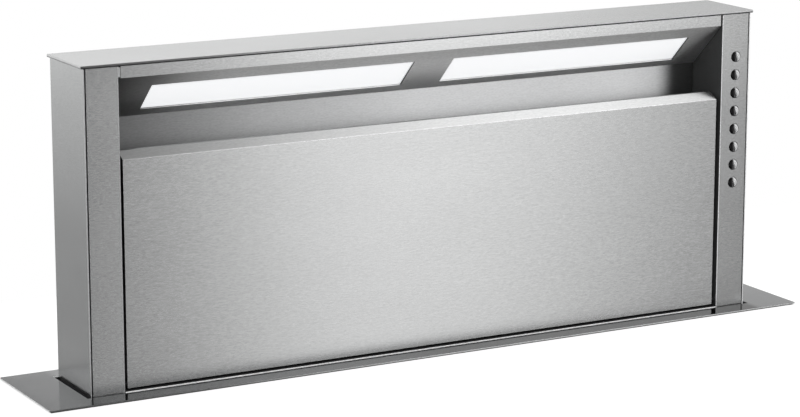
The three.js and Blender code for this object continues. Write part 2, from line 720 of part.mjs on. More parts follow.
// The light panel slopes from behind the rail down to the back wall. Its own axes: x along the
// panel, y down the slope and z into the tower.
function addLights() {
  const top = new THREE.Vector3(0, front + FACE_SHEET + GAP, TOWER_RISE - RAIL_HEIGHT);
  const foot = new THREE.Vector3(0, backWall - GAP - INNER_SHEET, lightPanelFoot);
  const slope = new THREE.Group();
  slope.position.copy(top);
  slope.rotation.x = -Math.atan2(top.z - foot.z, foot.y - top.y);
  tower.add(slope);

  const length = top.distanceTo(foot);
  const half = recessHalf - GAP;
  const inner = WINDOW_SPACING / 2;
  const outer = half - WINDOW_END_MARGIN;
  const windowFoot = WINDOW_MARGIN + WINDOW_HEIGHT;
  const sheet = block([-half, 0, 0], [half, length, INNER_SHEET]);
  const spans = [inner, -outer].map((x) => [x + WINDOW_SHIFT, x + WINDOW_SHIFT + outer - inner]);
  const windows = spans.map(
    ([x0, x1]) => block([x0, WINDOW_MARGIN, -OVERRUN], [x1, windowFoot, INNER_SHEET + OVERRUN]),
  );
  piece(slope, "light_panel", innerSteel, cut(sheet, ...windows));

  const glasses = spans.map(([x0, x1]) => block(
    [x0 + GAP, WINDOW_MARGIN + GAP, GAP],
    [x1 - GAP, windowFoot - GAP, GAP + GLASS_THICKNESS],
  ));
  piece(slope, "light_glass_right", lampGlass, glasses[0]);
  piece(slope, "light_glass_left", lampGlass, glasses[1]);

  // One strip runs behind the sheet, along the upper edges of both glasses.
  const stripZ = INNER_SHEET + GAP;
  const strip = block(
    [-outer + WINDOW_SHIFT, WINDOW_MARGIN - LED_STRIP_WIDTH, stripZ],
    [outer + WINDOW_SHIFT, WINDOW_MARGIN, stripZ + LED_STRIP_THICKNESS],
  );
  piece(slope, "led_strip", whiteBoard, strip);
}

// ---------------------------------------------------------------- front panel and filters

const panelFront = front + PANEL_RECESS;
const panelRear = panelFront + PANEL_FOLD_DEPTH;
const panelHalf = recessHalf - PANEL_END_GAP;
const hingeY = panelFront + HINGE_INSET;
const hingeZ = PANEL_FOOT + HINGE_LIFT;

// A folded pan: its face, a bevel along the top, and side, bottom and top folds with rear lips.
function addFrontPanel() {
  const bevelTop = panelTop + PANEL_BEVEL_RISE;
  const pan = alongX(outline([
    [panelFront, PANEL_FOOT],
    [panelRear, PANEL_FOOT],
    [panelRear, bevelTop],
    [panelFront, panelTop],
  ]), -panelHalf, panelHalf);
  const bevelTurn = FACE_SHEET * PANEL_BEVEL_RISE / PANEL_FOLD_DEPTH;
  const cavity = alongX(outline([
    [panelFront + FACE_SHEET, PANEL_FOOT + FACE_SHEET],
    [panelRear - FACE_SHEET, PANEL_FOOT + FACE_SHEET],
    [panelRear - FACE_SHEET, bevelTop - FACE_SHEET - bevelTurn],
    [panelFront + FACE_SHEET, panelTop - FACE_SHEET + bevelTurn],
  ]), -panelHalf + FACE_SHEET, panelHalf - FACE_SHEET);
  const rearOpening = block(
    [-panelHalf + PANEL_LIP, panelRear - 2 * FACE_SHEET, PANEL_FOOT + PANEL_LIP],
    [panelHalf - PANEL_LIP, panelRear + OVERRUN, panelTop - PANEL_LIP],
  );
  const holeRadius = HINGE_PIN_RADIUS + GAP;
  const pinHoles = [-1, 1].map((side) => {
    const middle = side * panelHalf;
    return barAlongX(holeRadius, middle - 2 * FACE_SHEET, middle + 2 * FACE_SHEET, hingeY, hingeZ);
  });
  piece(tower, "front_panel", brushedSteel, cut(pan, cavity, rearOpening, ...pinHoles));
}

// The pins stand on the columns' cheeks and reach through the panel's side folds.
function addHingePins() {
  const pin = turned([
    [0, recessHalf - GAP - HINGE_PIN_LENGTH],
    [HINGE_PIN_RADIUS, recessHalf - GAP - HINGE_PIN_LENGTH],
    [HINGE_PIN_RADIUS, recessHalf - GAP - HINGE_HEAD_LENGTH],
    [HINGE_HEAD_RADIUS, recessHalf - GAP - HINGE_HEAD_LENGTH],
    [HINGE_HEAD_RADIUS, recessHalf - GAP],
    [0, recessHalf - GAP],
  ], 16);
  pin.rotateZ(-Math.PI / 2);
  pair(tower, "hinge_pin", polishedSteel, pin.translate(0, hingeY, hingeZ));
}

// Magnets behind the panel's side lips hold it shut.
function addPanelMagnets() {
  const outer = recessHalf - GAP;
  const top = panelTop - MAGNET_DROP;
  const magnet = block(
    [outer - MAGNET_WIDTH, panelRear + GAP, top - MAGNET_HEIGHT],
    [outer, panelRear + GAP + MAGNET_DEPTH, top],
  );
  pair(tower, "panel_magnet", blackPlastic, magnet);
}

// Two cassettes stand on the ledge behind the panel and lean back against the back wall, so all the
// air goes through them. Each one's own axes: y through its thickness and z up its length.
function addFilters() {
  const reach = backWall - GAP - filterFoot;
  const diagonal = Math.hypot(FILTER_LENGTH, FILTER_THICKNESS);
  const lean = Math.asin(reach / diagonal) - Math.atan2(FILTER_THICKNESS, FILTER_LENGTH);
  const leaning = new THREE.Group();
  leaning.rotation.x = -lean;
  leaning.position.y = filterFoot;
  leaning.position.z = BOTTOM_RAIL_TOP + GAP + FILTER_THICKNESS * Math.sin(lean);
  tower.add(leaning);

  const outer = recessHalf - GAP;
  const frame = block([GAP, 0, 0], [outer, FILTER_THICKNESS, FILTER_LENGTH]);
  const x0 = GAP + FILTER_BORDER;
  const x1 = outer - FILTER_BORDER;
  const top = FILTER_LENGTH - FILTER_BORDER;
  const frontSink = block([x0, -OVERRUN, FILTER_BORDER], [x1, FILTER_MESH_SINK, top]);
  const rearSink = block(
    [x0, FILTER_THICKNESS - FILTER_MESH_SINK, FILTER_BORDER],
    [x1, FILTER_THICKNESS + OVERRUN, top],
  );
  pair(leaning, "grease_filter", filterMetal, cut(frame, frontSink, rearSink));
}

// ---------------------------------------------------------------- push buttons

const buttonFlangeFront = FACE_SHEET + GAP; // depths are counted from the column's face
const carrierFace = buttonFlangeFront + BUTTON_FLANGE_THICKNESS + BUTTON_TRAVEL + GAP;

// A domed cap with a flange behind the column's face and a stem in the carrier.
function buttonShape() {
  const flangeRear = buttonFlangeFront + BUTTON_FLANGE_THICKNESS;
  const domeSteps = 5;
  const profile = [];
  for (let i = 0; i <= domeSteps; i++) {
    const turn = (i / domeSteps) * (Math.PI / 2);
    profile.push([BUTTON_RADIUS * Math.sin(turn), -BUTTON_PROUD - BUTTON_DOME * Math.cos(turn)]);
  }
  profile[0][0] = 0;
  profile.push([BUTTON_RADIUS, buttonFlangeFront]);
  profile.push([BUTTON_FLANGE_RADIUS, buttonFlangeFront]);
  profile.push([BUTTON_FLANGE_RADIUS, flangeRear]);
  profile.push([BUTTON_STEM_RADIUS, flangeRear]);
  profile.push([BUTTON_STEM_RADIUS, flangeRear + BUTTON_STEM_LENGTH]);
  profile.push([0, flangeRear + BUTTON_STEM_LENGTH]);
  return turned(profile, 24);
}

function addButtons() {
  const shape = buttonShape();
  for (let i = 0; i < BUTTON_COUNT; i++) {
    const button = piece(tower, `button_${i + 1}`, polishedSteel, shape);
    button.position.set(columnMiddle, front, buttonHeight(i));
  }
}

// The carrier holds the buttons' stems over their switches, and its groove lets the flanges travel.
function addButtonCarrier() {
  const sheetRear = front + FACE_SHEET + GAP;
  const face = front + carrierFace;
  const rear = sheetRear + CARRIER_THICKNESS;
  const bottom = buttonHeight(BUTTON_COUNT - 1) - CARRIER_MARGIN;
  const top = buttonHeight(0) + CARRIER_MARGIN;
  const half = CARRIER_WIDTH / 2;
  const bar = block([columnMiddle - half, sheetRear, bottom], [columnMiddle + half, rear, top]);
  const grooveHalf = BUTTON_GROOVE / 2;
  const groove = block(
    [columnMiddle - grooveHalf, sheetRear - OVERRUN, bottom - OVERRUN],
    [columnMiddle + grooveHalf, face, top + OVERRUN],
  );
  const stemRear = BUTTON_FLANGE_THICKNESS + BUTTON_STEM_LENGTH + BUTTON_TRAVEL + GAP;
  const radius = BUTTON_STEM_RADIUS + GAP;
  const holes = [];
  for (let i = 0; i < BUTTON_COUNT; i++) {
    const hole = new THREE.CylinderGeometry(radius, radius, 2 * stemRear, 16);
    holes.push(hole.translate(columnMiddle, sheetRear, buttonHeight(i)));
  }
  piece(tower, "button_carrier", blackPlastic, cut(bar, groove, ...holes));
}

// ---------------------------------------------------------------- assembly

addTrimPlate();
addRimTape();
addSlotSealAndFrame();
addHousingWalls();
addDuctSpigot();
addFeet();
addControlBox();
addCableGland();

addGuideRails();
addBelts();
addShaftAndPulleys();
addIdlerBrackets();
addShaftBearings();
addGearMotor();

addCover();
addEndWalls();
addColumns();
addRearPanel();
addFasciaRail();
addBackWall();
addBottomRail();
addCarriageBeam();
addGuideShoes();
addLights();
addFrontPanel();
addHingePins();
addPanelMagnets();
addFilters();
addButtons();
addButtonCarrier();

export default vent;
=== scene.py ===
"""A downdraft vent: a slim stainless tower that rises out of a worktop, with its housing below.

Lengths are millimetres in the part's own frame, and become metres where a mesh is made. Only the
camera and the lamps are placed in metres.
+X is to the right of someone who faces the buttons, +Y runs to the back and +Z up.
"""
import math
import json

import bmesh
import bpy
from mathutils import Matrix, Vector

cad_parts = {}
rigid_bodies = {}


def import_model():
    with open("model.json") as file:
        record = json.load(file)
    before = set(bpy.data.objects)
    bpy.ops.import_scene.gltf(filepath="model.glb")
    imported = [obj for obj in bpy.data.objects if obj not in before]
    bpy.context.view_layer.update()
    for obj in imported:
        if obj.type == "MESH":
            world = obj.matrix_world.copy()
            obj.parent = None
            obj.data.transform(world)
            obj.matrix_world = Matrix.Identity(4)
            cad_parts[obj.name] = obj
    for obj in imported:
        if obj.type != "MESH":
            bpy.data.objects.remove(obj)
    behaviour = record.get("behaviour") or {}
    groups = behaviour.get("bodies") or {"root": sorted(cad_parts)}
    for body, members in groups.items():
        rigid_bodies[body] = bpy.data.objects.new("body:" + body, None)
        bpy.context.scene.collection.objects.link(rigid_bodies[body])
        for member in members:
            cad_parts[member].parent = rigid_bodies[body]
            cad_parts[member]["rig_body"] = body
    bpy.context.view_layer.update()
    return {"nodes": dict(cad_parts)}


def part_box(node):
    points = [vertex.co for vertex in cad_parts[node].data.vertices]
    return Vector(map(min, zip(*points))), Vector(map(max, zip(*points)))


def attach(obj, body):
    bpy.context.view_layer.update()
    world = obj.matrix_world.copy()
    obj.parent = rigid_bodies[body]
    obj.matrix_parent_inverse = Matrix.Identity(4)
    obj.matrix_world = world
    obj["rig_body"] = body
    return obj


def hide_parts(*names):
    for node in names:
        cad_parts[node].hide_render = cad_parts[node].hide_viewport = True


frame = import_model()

scene = bpy.context.scene
MM = 0.001
METRE = 1000.0
X_AXIS, Y_AXIS, Z_AXIS = (Vector(row) for row in Matrix.Identity(3))

# ------------ the part's own measures

SIDES = (("right", 1.0), ("left", -1.0))
FACES = (("front", -1.0), ("rear", 1.0))
BUTTONS = [f"button_{i + 1}" for i in range(8)]


def cad_box(node):
    """The low and the high corner of a CAD node, in millimetres."""
    low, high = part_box(node)
    return low / MM, high / MM


def button_place(node):
    """The middle of a button, on the column's face."""
    low, high = cad_box(node)
    return (low.x + high.x) / 2.0, COLUMN_FACE, (low.z + high.z) / 2.0


TAPE_UNDERSIDE = cad_box("rim_tape")[0].z
PLATE_END = cad_box("trim_plate")[1].x
TOWER_BACK = cad_box("rear_panel")[1].y
COLUMN_FACE = cad_box("column_right")[0].y
BUTTON_X = button_place(BUTTONS[0])[0]
HOUSING_HALF, HOUSING_SIDE = cad_box("housing_rear")[1].xy
SHAFT_Z = sum(corner.z for corner in cad_box("drive_shaft")) / 2.0

# The light panel's face falls from the foot of the fascia rail to the back.
SLOPE_TOP = Vector((0.0, cad_box("light_panel")[0].y, cad_box("fascia_rail")[0].z))
SLOPE_DROP = SLOPE_TOP.z - cad_box("light_panel")[0].z
SLOPE_DEPTH = 53.2
SLOPE_TURN = -math.atan2(SLOPE_DROP, SLOPE_DEPTH)
SLOPE_INWARD = Vector((0.0, -math.sin(SLOPE_TURN), math.cos(SLOPE_TURN)))
GLASS_SINK = 1.3

# Lines on the sheets, where a second finish starts.
FOLD_WIDTH = 0.9
POST_LINE = cad_box("column_right")[0].x + FOLD_WIDTH
FOLD_LINE = cad_box("front_panel")[0].y + FOLD_WIDTH
HEM_END = cad_box("front_panel")[1].y - 1.4
COVER_LINE = cad_box("top_cover")[0].z + 1.2

# ------------ camera

CAMERA_PLACE = (-1.42619, -2.56002, 1.38832)
CAMERA_TURN = 0.5016
CAMERA_PITCH = 0.2154
CAMERA_LENS = 124.03
CAMERA_REACH = 100.0


def add_camera():
    """The photograph's viewpoint: from the left and a little above."""
    data = bpy.data.cameras.new("camera")
    data.lens = CAMERA_LENS
    data.clip_end = CAMERA_REACH
    camera = bpy.data.objects.new("camera", data)
    camera.location = CAMERA_PLACE
    camera.rotation_euler = (math.pi / 2 - CAMERA_PITCH, 0.0, -CAMERA_TURN)
    scene.collection.objects.link(camera)
    scene.camera = camera


# ------------ node helpers

# A Mix node's sockets for colours.
MIX_FIRST, MIX_SECOND, MIX_RESULT = 6, 7, 2


def feed(tree, socket, value):
    """Gives a socket a number, a colour or the output of another node."""
    if isinstance(value, float):
        socket.default_value = value
    elif isinstance(value, tuple):
        socket.default_value = (*value, 1.0)
    else:
        tree.links.new(value, socket)


def add_node(tree, kind, inputs=None, **settings):
    """A shader node with its settings and with what its inputs are fed."""
    node = tree.nodes.new("ShaderNode" + kind)
    for name, value in settings.items():
        setattr(node, name, value)
    for key, value in (inputs or {}).items():
        feed(tree, node.inputs[key], value)
    return node


def add_math(tree, operation, *values):
    return add_node(tree, "Math", dict(enumerate(values)), operation=operation).outputs[0]


def add_mix(tree, factor, first, second, blend="MIX"):
    inputs = {"Factor": factor, MIX_FIRST: first, MIX_SECOND: second}
    return add_node(tree, "Mix", inputs, data_type="RGBA", blend_type=blend).outputs[MIX_RESULT]


def add_ramp(tree, value, stops, smooth=True):
    """A ramp through stops of (position, grey or colour)."""
    node = add_node(tree, "ValToRGB", {"Fac": value})
    ramp = node.color_ramp
    ramp.interpolation = "EASE" if smooth else "LINEAR"
    while len(ramp.elements) < len(stops):
        ramp.elements.new(0.5)
    for element, (position, shade) in zip(ramp.elements, stops):
        element.position = position
        colour = shade if isinstance(shade, tuple) else (shade, shade, shade)
        element.color = (*colour, 1.0)
    return node.outputs["Color"]


def add_range(tree, value, span, target=(0.0, 1.0), shape="LINEAR"):
    """Maps a span of a value to a target span."""
    inputs = dict(zip(("Value", "From Min", "From Max", "To Min", "To Max"), (value, *span, *target)))
    return add_node(tree, "MapRange", inputs, interpolation_type=shape).outputs["Result"]


def add_split(tree, vector):
    """The X, Y and Z of a vector."""
    return tuple(add_node(tree, "SeparateXYZ", {"Vector": vector}).outputs)


def add_mirrored(tree, path):
    """1 for the rays that metal or glass sends on, and 0 for all others."""
    return add_math(tree, "MAXIMUM", path.outputs["Is Glossy Ray"], path.outputs["Is Transmission Ray"])


# ------------ studio

STUDIO_SCALE = 1.9
# Brightness in front of the object along the direction's X, from -1 to 1: above eye level, a little
# below it and further down.
SIDE_STRIP = (
    (-1.0, 0.362), (-0.74, 0.463), (-0.58, 0.404), (-0.5, 0.093), (-0.13, 0.067), (-0.085, 0.362),
    (0.0, 0.522), (0.085, 0.362), (0.13, 0.067), (0.32, 0.07))
HIGH_STRIP = SIDE_STRIP + (
    (0.37, 0.09), (0.43, 0.5), (0.475, 0.825), (0.525, 0.8), (0.575, 0.67), (0.65, 0.45), (1.0, 0.497))
UPPER_STRIP = SIDE_STRIP + (
    (0.37, 0.055), (0.4, 0.27), (0.43, 0.79), (0.475, 1.0), (0.525, 0.84), (0.565, 0.43), (0.61, 0.1),
    (0.72, 0.32), (1.0, 0.497))
LOWER_STRIP = (
    (-1.0, 0.328), (-0.74, 0.404), (-0.58, 0.379), (-0.5, 0.08), (-0.13, 0.059), (-0.085, 0.328),
    (0.0, 0.463), (0.085, 0.328), (0.13, 0.059), (0.32, 0.06), (0.37, 0.09), (0.43, 0.52),
    (0.475, 0.65), (0.525, 0.15), (0.565, 0.0), (0.62, 0.0), (0.72, 0.12), (1.0, 0.463))
HIGH_JOINT = (-0.08, 0.08)
LOWER_JOINT = (-0.26, -0.16)
# Brightness behind the object along the direction's Z, and the share of it along the direction's X.
BACK_HEIGHT = (
    (-1.0, 0.253), (-0.45, 0.286), (-0.26, 0.152), (-0.17, 0.21), (-0.12, 0.556), (0.02, 0.606),
    (0.13, 0.5), (0.18, 0.48), (0.215, 0.88), (0.24, 0.84), (0.265, 0.22), (0.3, 0.37),
    (0.38, 0.3), (0.55, 0.337), (1.0, 0.421))
BACK_ACROSS = ((-1.0, 1.0), (0.4, 1.0), (0.5, 0.95), (0.57, 0.7), (1.0, 0.7))
BACK_JOINT = (-0.3, 0.35)
# Plain brightness to both sides.
SIDE_GREY = (0.42, 0.42, 0.42)
SIDE_JOINT = (0.66, 0.8)
# What the camera sees behind the object, and what lights all surfaces that aren't shiny.
WHITE = (1.0, 1.0, 1.0)
AMBIENT = (0.62, 0.62, 0.62)

# Name, place and aim, sides and power in watts.
LAMPS = (
    ("key_lamp", (-1.6, -2.6, 3.0), (0.0, 0.0, 0.6), (1.8, 1.8), 60.0),
    ("fill_lamp", (2.6, -1.8, 1.8), (0.0, 0.0, 0.5), (1.6, 1.6), 28.0),
    ("back_lamp", (0.4, 2.8, 2.4), (0.0, 0.0, 0.5), (2.0, 1.4), 40.0),
)

FLOOR_HALF = 2600.0
WORKTOP_FRONT = -440.0
WORKTOP_REAR = 160.0
WORKTOP_HALF = 560.0
WORKTOP_THICKNESS = 30.0
CUTOUT_GAP = 1.6


def add_strip(tree, value, stops):
    """A ramp along a part of a direction, whose stops run from -1 to 1."""
    unit = add_math(tree, "ADD", add_math(tree, "MULTIPLY", value, 0.5), 0.5)
    return add_ramp(tree, unit, [((position + 1.0) / 2.0, shade) for position, shade in stops])


def add_step(tree, value, span):
    """A smooth step from 0 to 1 over a span of a value."""
    return add_range(tree, value, span, shape="SMOOTHSTEP")


def add_studio(tree, direction):
    """The bright and dark strips that metal sees round it."""
    across, depth, height = add_split(tree, direction)
    high, upper, lower = (
        add_strip(tree, across, strip) for strip in (HIGH_STRIP, UPPER_STRIP, LOWER_STRIP))
    above = add_mix(tree, add_step(tree, height, HIGH_JOINT), upper, high)
    front = add_mix(tree, add_step(tree, height, LOWER_JOINT), lower, above)
    rear = add_math(
        tree, "MULTIPLY", add_strip(tree, height, BACK_HEIGHT), add_strip(tree, across, BACK_ACROSS))
    middle = add_mix(tree, add_step(tree, depth, BACK_JOINT), front, rear)
    beside = add_step(tree, add_math(tree, "ABSOLUTE", across), SIDE_JOINT)
    inputs = {0: add_mix(tree, beside, middle, SIDE_GREY), "Scale": STUDIO_SCALE}
    return add_node(tree, "VectorMath", inputs, operation="SCALE").outputs[0]


def add_world():
    """White for the camera, a pale studio for metal to reflect, and plain light for the rest."""
    world = bpy.data.worlds.new("studio")
    scene.world = world
    world.use_nodes = True
    tree = world.node_tree
    studio = add_studio(tree, add_node(tree, "TexCoord").outputs["Generated"])
    path = add_node(tree, "LightPath")
    lit = add_mix(tree, add_mirrored(tree, path), AMBIENT, studio)
    seen = add_mix(tree, path.outputs["Is Camera Ray"], lit, WHITE)
    feed(tree, tree.nodes["Background"].inputs["Color"], seen)


def add_lamps():
    """Soft area lamps, which metal doesn't reflect."""
    for name, place, aim, sides, power in LAMPS:
        data = bpy.data.lights.new(name, "AREA")
        data.shape = "RECTANGLE"
        data.size, data.size_y = sides
        data.energy = power
        lamp = bpy.data.objects.new(name, data)
        lamp.location = place
        lamp.rotation_euler = (Vector(aim) - Vector(place)).to_track_quat("-Z", "Y").to_euler()
        lamp.visible_glossy = False
        scene.collection.objects.link(lamp)


def add_stage_material(piece, name, glow, grey, seen_in_metal):
    """Near white to the camera where it is lit, so that it still keeps a shadow."""
    material = bpy.data.materials.new(name)
    material.use_nodes = True
    tree = material.node_tree
    tree.nodes.remove(tree.nodes["Principled BSDF"])
    path = add_node(tree, "LightPath")
    metal = add_math(tree, "MULTIPLY", add_mirrored(tree, path), seen_in_metal)
    camera = add_math(tree, "MULTIPLY", path.outputs["Is Camera Ray"], glow)
    diffuse = add_node(tree, "BsdfDiffuse", {"Color": (grey, grey, grey)})
    emission = add_node(tree, "Emission", {"Strength": add_math(tree, "ADD", camera, metal)})
    total = add_node(tree, "AddShader", {0: diffuse.outputs[0], 1: emission.outputs[0]})
    feed(tree, tree.nodes["Material Output"].inputs["Surface"], total.outputs[0])
    piece.data.materials.append(material)


def rectangle(left, front, right, back):
    """The corners of a rectangle, seen from above."""
    return (left, front), (right, front), (right, back), (left, back)


def add_floor():
    """A large pale square under the housing's feet."""
    shape = bmesh.new()
    corners = rectangle(-FLOOR_HALF, -FLOOR_HALF, FLOOR_HALF, FLOOR_HALF)
    shape.faces.new([shape.verts.new((x, y, 0.0)) for x, y in corners])
    floor = to_object("floor", shape)
    add_stage_material(floor, "floor_white", glow=0.78, grey=0.3, seen_in_metal=0.35)
    floor.visible_glossy = False


def add_worktop():
    """A slab of worktop round the housing, which carries the trim plate."""
    shape = bmesh.new()
    cutout_half = HOUSING_HALF + CUTOUT_GAP
    cutout_side = HOUSING_SIDE + CUTOUT_GAP
    outer = rectangle(-WORKTOP_HALF, WORKTOP_FRONT, WORKTOP_HALF, WORKTOP_REAR)
    inner = rectangle(-cutout_half, -cutout_side, cutout_half, cutout_side)
    outer_low, outer_top, inner_low, inner_top = (
        [shape.verts.new((x, y, z)) for x, y in ring]
        for ring in (outer, inner) for z in (TAPE_UNDERSIDE - WORKTOP_THICKNESS, TAPE_UNDERSIDE))
    for first, second in ((outer_low, outer_top), (outer_top, inner_top),
                          (inner_top, inner_low), (inner_low, outer_low)):
        join_rings(shape, first, second)
    worktop = to_object("worktop", shape)
    add_stage_material(worktop, "worktop_white", glow=0.8, grey=0.3, seen_in_metal=0.3)
    add_stage_material(worktop, "worktop_edge", glow=0.5, grey=0.24, seen_in_metal=0.3)
    for face in worktop.data.polygons:
        if face.normal.z < FACING:
            face.material_index = 1
    worktop.visible_shadow = worktop.visible_diffuse = worktop.visible_glossy = False


# ------------ materials

# A Wave texture's bands repeat after this length.
WAVE_LENGTH = math.pi / 10.0


class Finish:
    """A procedural material: its patterns are measured in millimetres on the piece."""

    def __init__(self, name, base, roughness, metallic=0.0):
        self.material = bpy.data.materials.new(name)
        self.material.use_nodes = True
        self.tree = self.material.node_tree
        self.inputs = self.tree.nodes["Principled BSDF"].inputs
        self.place = add_node(self.tree, "TexCoord").outputs["Object"]
        self.base = base
        self.normal = None
        self.feed("Base Color", base)
        self.feed("Roughness", roughness)
        self.feed("Metallic", metallic)

    def feed(self, name, value):
        """Gives an input of the shader a number, a colour or the output of a node."""
        feed(self.tree, self.inputs[name], value)

    def texture(self, kind, cell, **settings):
        """A texture with cells of that many millimetres, or of three lengths along X, Y and Z."""
        lengths = cell if isinstance(cell, tuple) else (cell, cell, cell)
        mapping = add_node(self.tree, "Mapping", {"Vector": self.place})
        mapping.inputs["Scale"].default_value = [1.0 / (MM * length) for length in lengths]
        inputs = {"Vector": mapping.outputs["Vector"], "Scale": 1.0}
        return add_node(self.tree, "Tex" + kind, inputs, **settings)

    def noise(self, cell, detail=2.0):
        node = self.texture("Noise", cell)
        node.inputs["Detail"].default_value = detail
        return node.outputs["Fac"]

    def cells(self, cell, feature, output):
        return self.texture("Voronoi", cell, feature=feature).outputs[output]

    def wave(self, period, axis):
        return self.texture("Wave", period / WAVE_LENGTH, bands_direction=axis).outputs["Fac"]

    def blend(self, first, second, share):
        """The first pattern, with a share of the second in its place."""
        laid = add_math(self.tree, "MULTIPLY", second, share)
        rest = add_math(self.tree, "MULTIPLY", first, 1.0 - share)
        return add_math(self.tree, "ADD", laid, rest)

    def colour(self, pattern, low, high, span=(0.3, 0.7)):
        """The base colour times low to high over a span of a pattern."""
        shades = [tuple(part * factor for part in self.base) for factor in (low, high)]
        self.feed("Base Color", add_ramp(self.tree, pattern, list(zip(span, shades)), smooth=False))

    def rough(self, pattern, low, high, span=(0.3, 0.7)):
        """A roughness from low to high over a span of a pattern."""
        self.feed("Roughness", add_range(self.tree, pattern, span, (low, high)))

    def bump(self, pattern, depth):
        """Raises the surface by depth millimetres along a pattern."""
        inputs = {"Height": pattern, "Distance": depth * MM}
        if self.normal is not None:
            inputs["Normal"] = self.normal
        self.normal = add_node(self.tree, "Bump", inputs).outputs["Normal"]
        self.feed("Normal", self.normal)

    def lean(self, slope):
        """Turns the normals as if the sheet leaned: it rises by slope for each unit of height."""
        height = add_split(self.tree, self.place)[2]
        self.bump(add_math(self.tree, "MULTIPLY", height, slope), METRE)

    def fade(self, axis, stops):
        """Paints light and shade into the colour: multiplies it by a ramp along an axis, through stops of
        (millimetres, factor).
        """
        low, high = stops[0][0], stops[-1][0]
        along = add_split(self.tree, self.place)["XYZ".index(axis)]
        unit = add_range(self.tree, along, (low * MM, high * MM))
        positions = [((place - low) / (high - low), shade) for place, shade in stops]
        ramp = add_ramp(self.tree, unit, positions, smooth=False)
        colour = self.inputs["Base Color"].links[0].from_socket
        self.feed("Base Color", add_mix(self.tree, 1.0, colour, ramp, "MULTIPLY"))

    def grain(self, axis, amount):
        """Stretches the highlights across grain, with the tangents turned round an axis."""
        tangent = add_node(self.tree, "Tangent", direction_type="RADIAL", axis=axis)
        self.feed("Tangent", tangent.outputs[0])
        self.feed("Anisotropic", amount)

    def glow(self, colour, strength):
        """Lets the surface shine by itself."""
        self.feed("Emission Color", colour)
        self.feed("Emission Strength", strength)


STEEL = (0.655, 0.66, 0.66)
SHEEN = (0.22, 0.27)


def brushed(name, base=STEEL, sheen=SHEEN, axis="X", anisotropy=0.62, contrast=0.1, depth=0.0015):
    """Stainless sheet brushed along one axis, with faint long streaks and a cloudy sheen."""
    finish = Finish(name, base, sum(sheen) / 2.0, metallic=1.0)

    def along(length, width):
        return tuple(length if letter == axis else width for letter in "XYZ")

    streaks = finish.noise(along(8.0, 1.1), detail=1.0)
    fine = finish.noise(along(3.2, 0.9), detail=0.0)
    clouds = finish.noise(along(150.0, 60.0))
    lines = finish.blend(streaks, fine, 0.5)
    finish.colour(finish.blend(lines, clouds, 0.12), 1.0 - contrast, 1.0 + contrast, (0.32, 0.68))
    finish.rough(finish.blend(lines, clouds, 0.4), *sheen)
    finish.bump(lines, depth)
    finish.grain(axis, anisotropy)
    return finish


def ground(name, base, roughness, metallic):
    """Steel with fine ground marks: the sawn and ground edge of thick stainless sheet, and the strips of
    painted shade and painted highlight laid on the tower's faces.
    """
    finish = Finish(name, base, roughness, metallic)
    marks = finish.noise((3.0, 3.0, 0.8), detail=3.0)
    finish.colour(marks, 0.8, 1.25)
    finish.rough(marks, roughness - 0.07, roughness + 0.1)
    finish.bump(marks, 0.01)
    return finish


def polished(name, base, roughness):
    """Smooth steel with a faint haze."""
    finish = Finish(name, base, roughness, metallic=1.0)
    haze = finish.noise(6.0, detail=3.0)
    swirl = finish.noise(0.8)
    finish.colour(haze, 0.97, 1.03)
    finish.rough(finish.blend(haze, swirl, 0.4), roughness * 0.7, roughness * 1.5)
    finish.bump(swirl, 0.002)
    return finish


def zinc_sheet():
    """Hot-dip galvanized sheet with its spangle."""
    finish = Finish("zinc_sheet", (0.56, 0.58, 0.6), 0.42, metallic=0.85)
    spangle = finish.cells(11.0, "SMOOTH_F1", "Color")
    fine = finish.cells(4.0, "F1", "Color")
    smudge = finish.noise((90.0, 90.0, 60.0), detail=3.0)
    flakes = finish.blend(spangle, fine, 0.3)
    finish.colour(finish.blend(flakes, smudge, 0.35), 0.82, 1.16, (0.2, 0.8))
    finish.rough(flakes, 0.34, 0.52, (0.1, 0.9))
    finish.bump(finish.noise(1.2), 0.01)
    return finish


def dark_paint():
    """Sprayed paint with its orange peel and a little wear."""
    finish = Finish("dark_paint", (0.05, 0.052, 0.056), 0.42)
    peel = finish.noise(1.8)
    wear = finish.noise(26.0, detail=4.0)
    finish.colour(finish.blend(peel, wear, 0.6), 0.75, 1.35)
    finish.rough(wear, 0.34, 0.52)
    finish.bump(peel, 0.03)
    return finish


def aluminium(name, base, roughness):
    """Bare aluminium, rolled along X."""
    finish = Finish(name, base, roughness, metallic=1.0)
    rolled = finish.noise((24.0, 2.0, 2.0), detail=3.0)
    finish.colour(rolled, 0.9, 1.08)
    finish.rough(rolled, roughness - 0.07, roughness + 0.08)
    finish.bump(rolled, 0.01)
    return finish


def filter_core():
    """The layers of expanded mesh inside a filter, seen through its outer layer."""
    finish = Finish("filter_core", (0.34, 0.345, 0.35), 0.45, metallic=1.0)
    weave = finish.cells(2.6, "DISTANCE_TO_EDGE", "Distance")
    layers = finish.noise(3.0)
    finish.colour(finish.blend(weave, layers, 0.5), 0.35, 1.5, (0.1, 0.6))
    finish.rough(layers, 0.35, 0.6)
    finish.bump(weave, 0.6)
    return finish


def lit_glass():
    """Frosted glass, evenly lit from behind."""
    finish = Finish("lit_glass", (0.9, 0.91, 0.92), 0.38)
    finish.glow((0.965, 0.972, 0.985), 0.62)
    frost = finish.noise(0.7)
    clouds = finish.noise((60.0, 30.0, 30.0), detail=1.0)
    finish.colour(clouds, 0.97, 1.0)
    finish.rough(frost, 0.32, 0.46)
    finish.bump(frost, 0.004)
    return finish


def solder_mask():
    """The white lacquer of a circuit board."""
    finish = Finish("solder_mask", (0.85, 0.85, 0.82), 0.35)
    weave = finish.noise(0.6, detail=1.0)
    tone = finish.noise(12.0)
    finish.colour(tone, 0.94, 1.03)
    finish.rough(weave, 0.28, 0.42)
    finish.bump(weave, 0.006)
    return finish


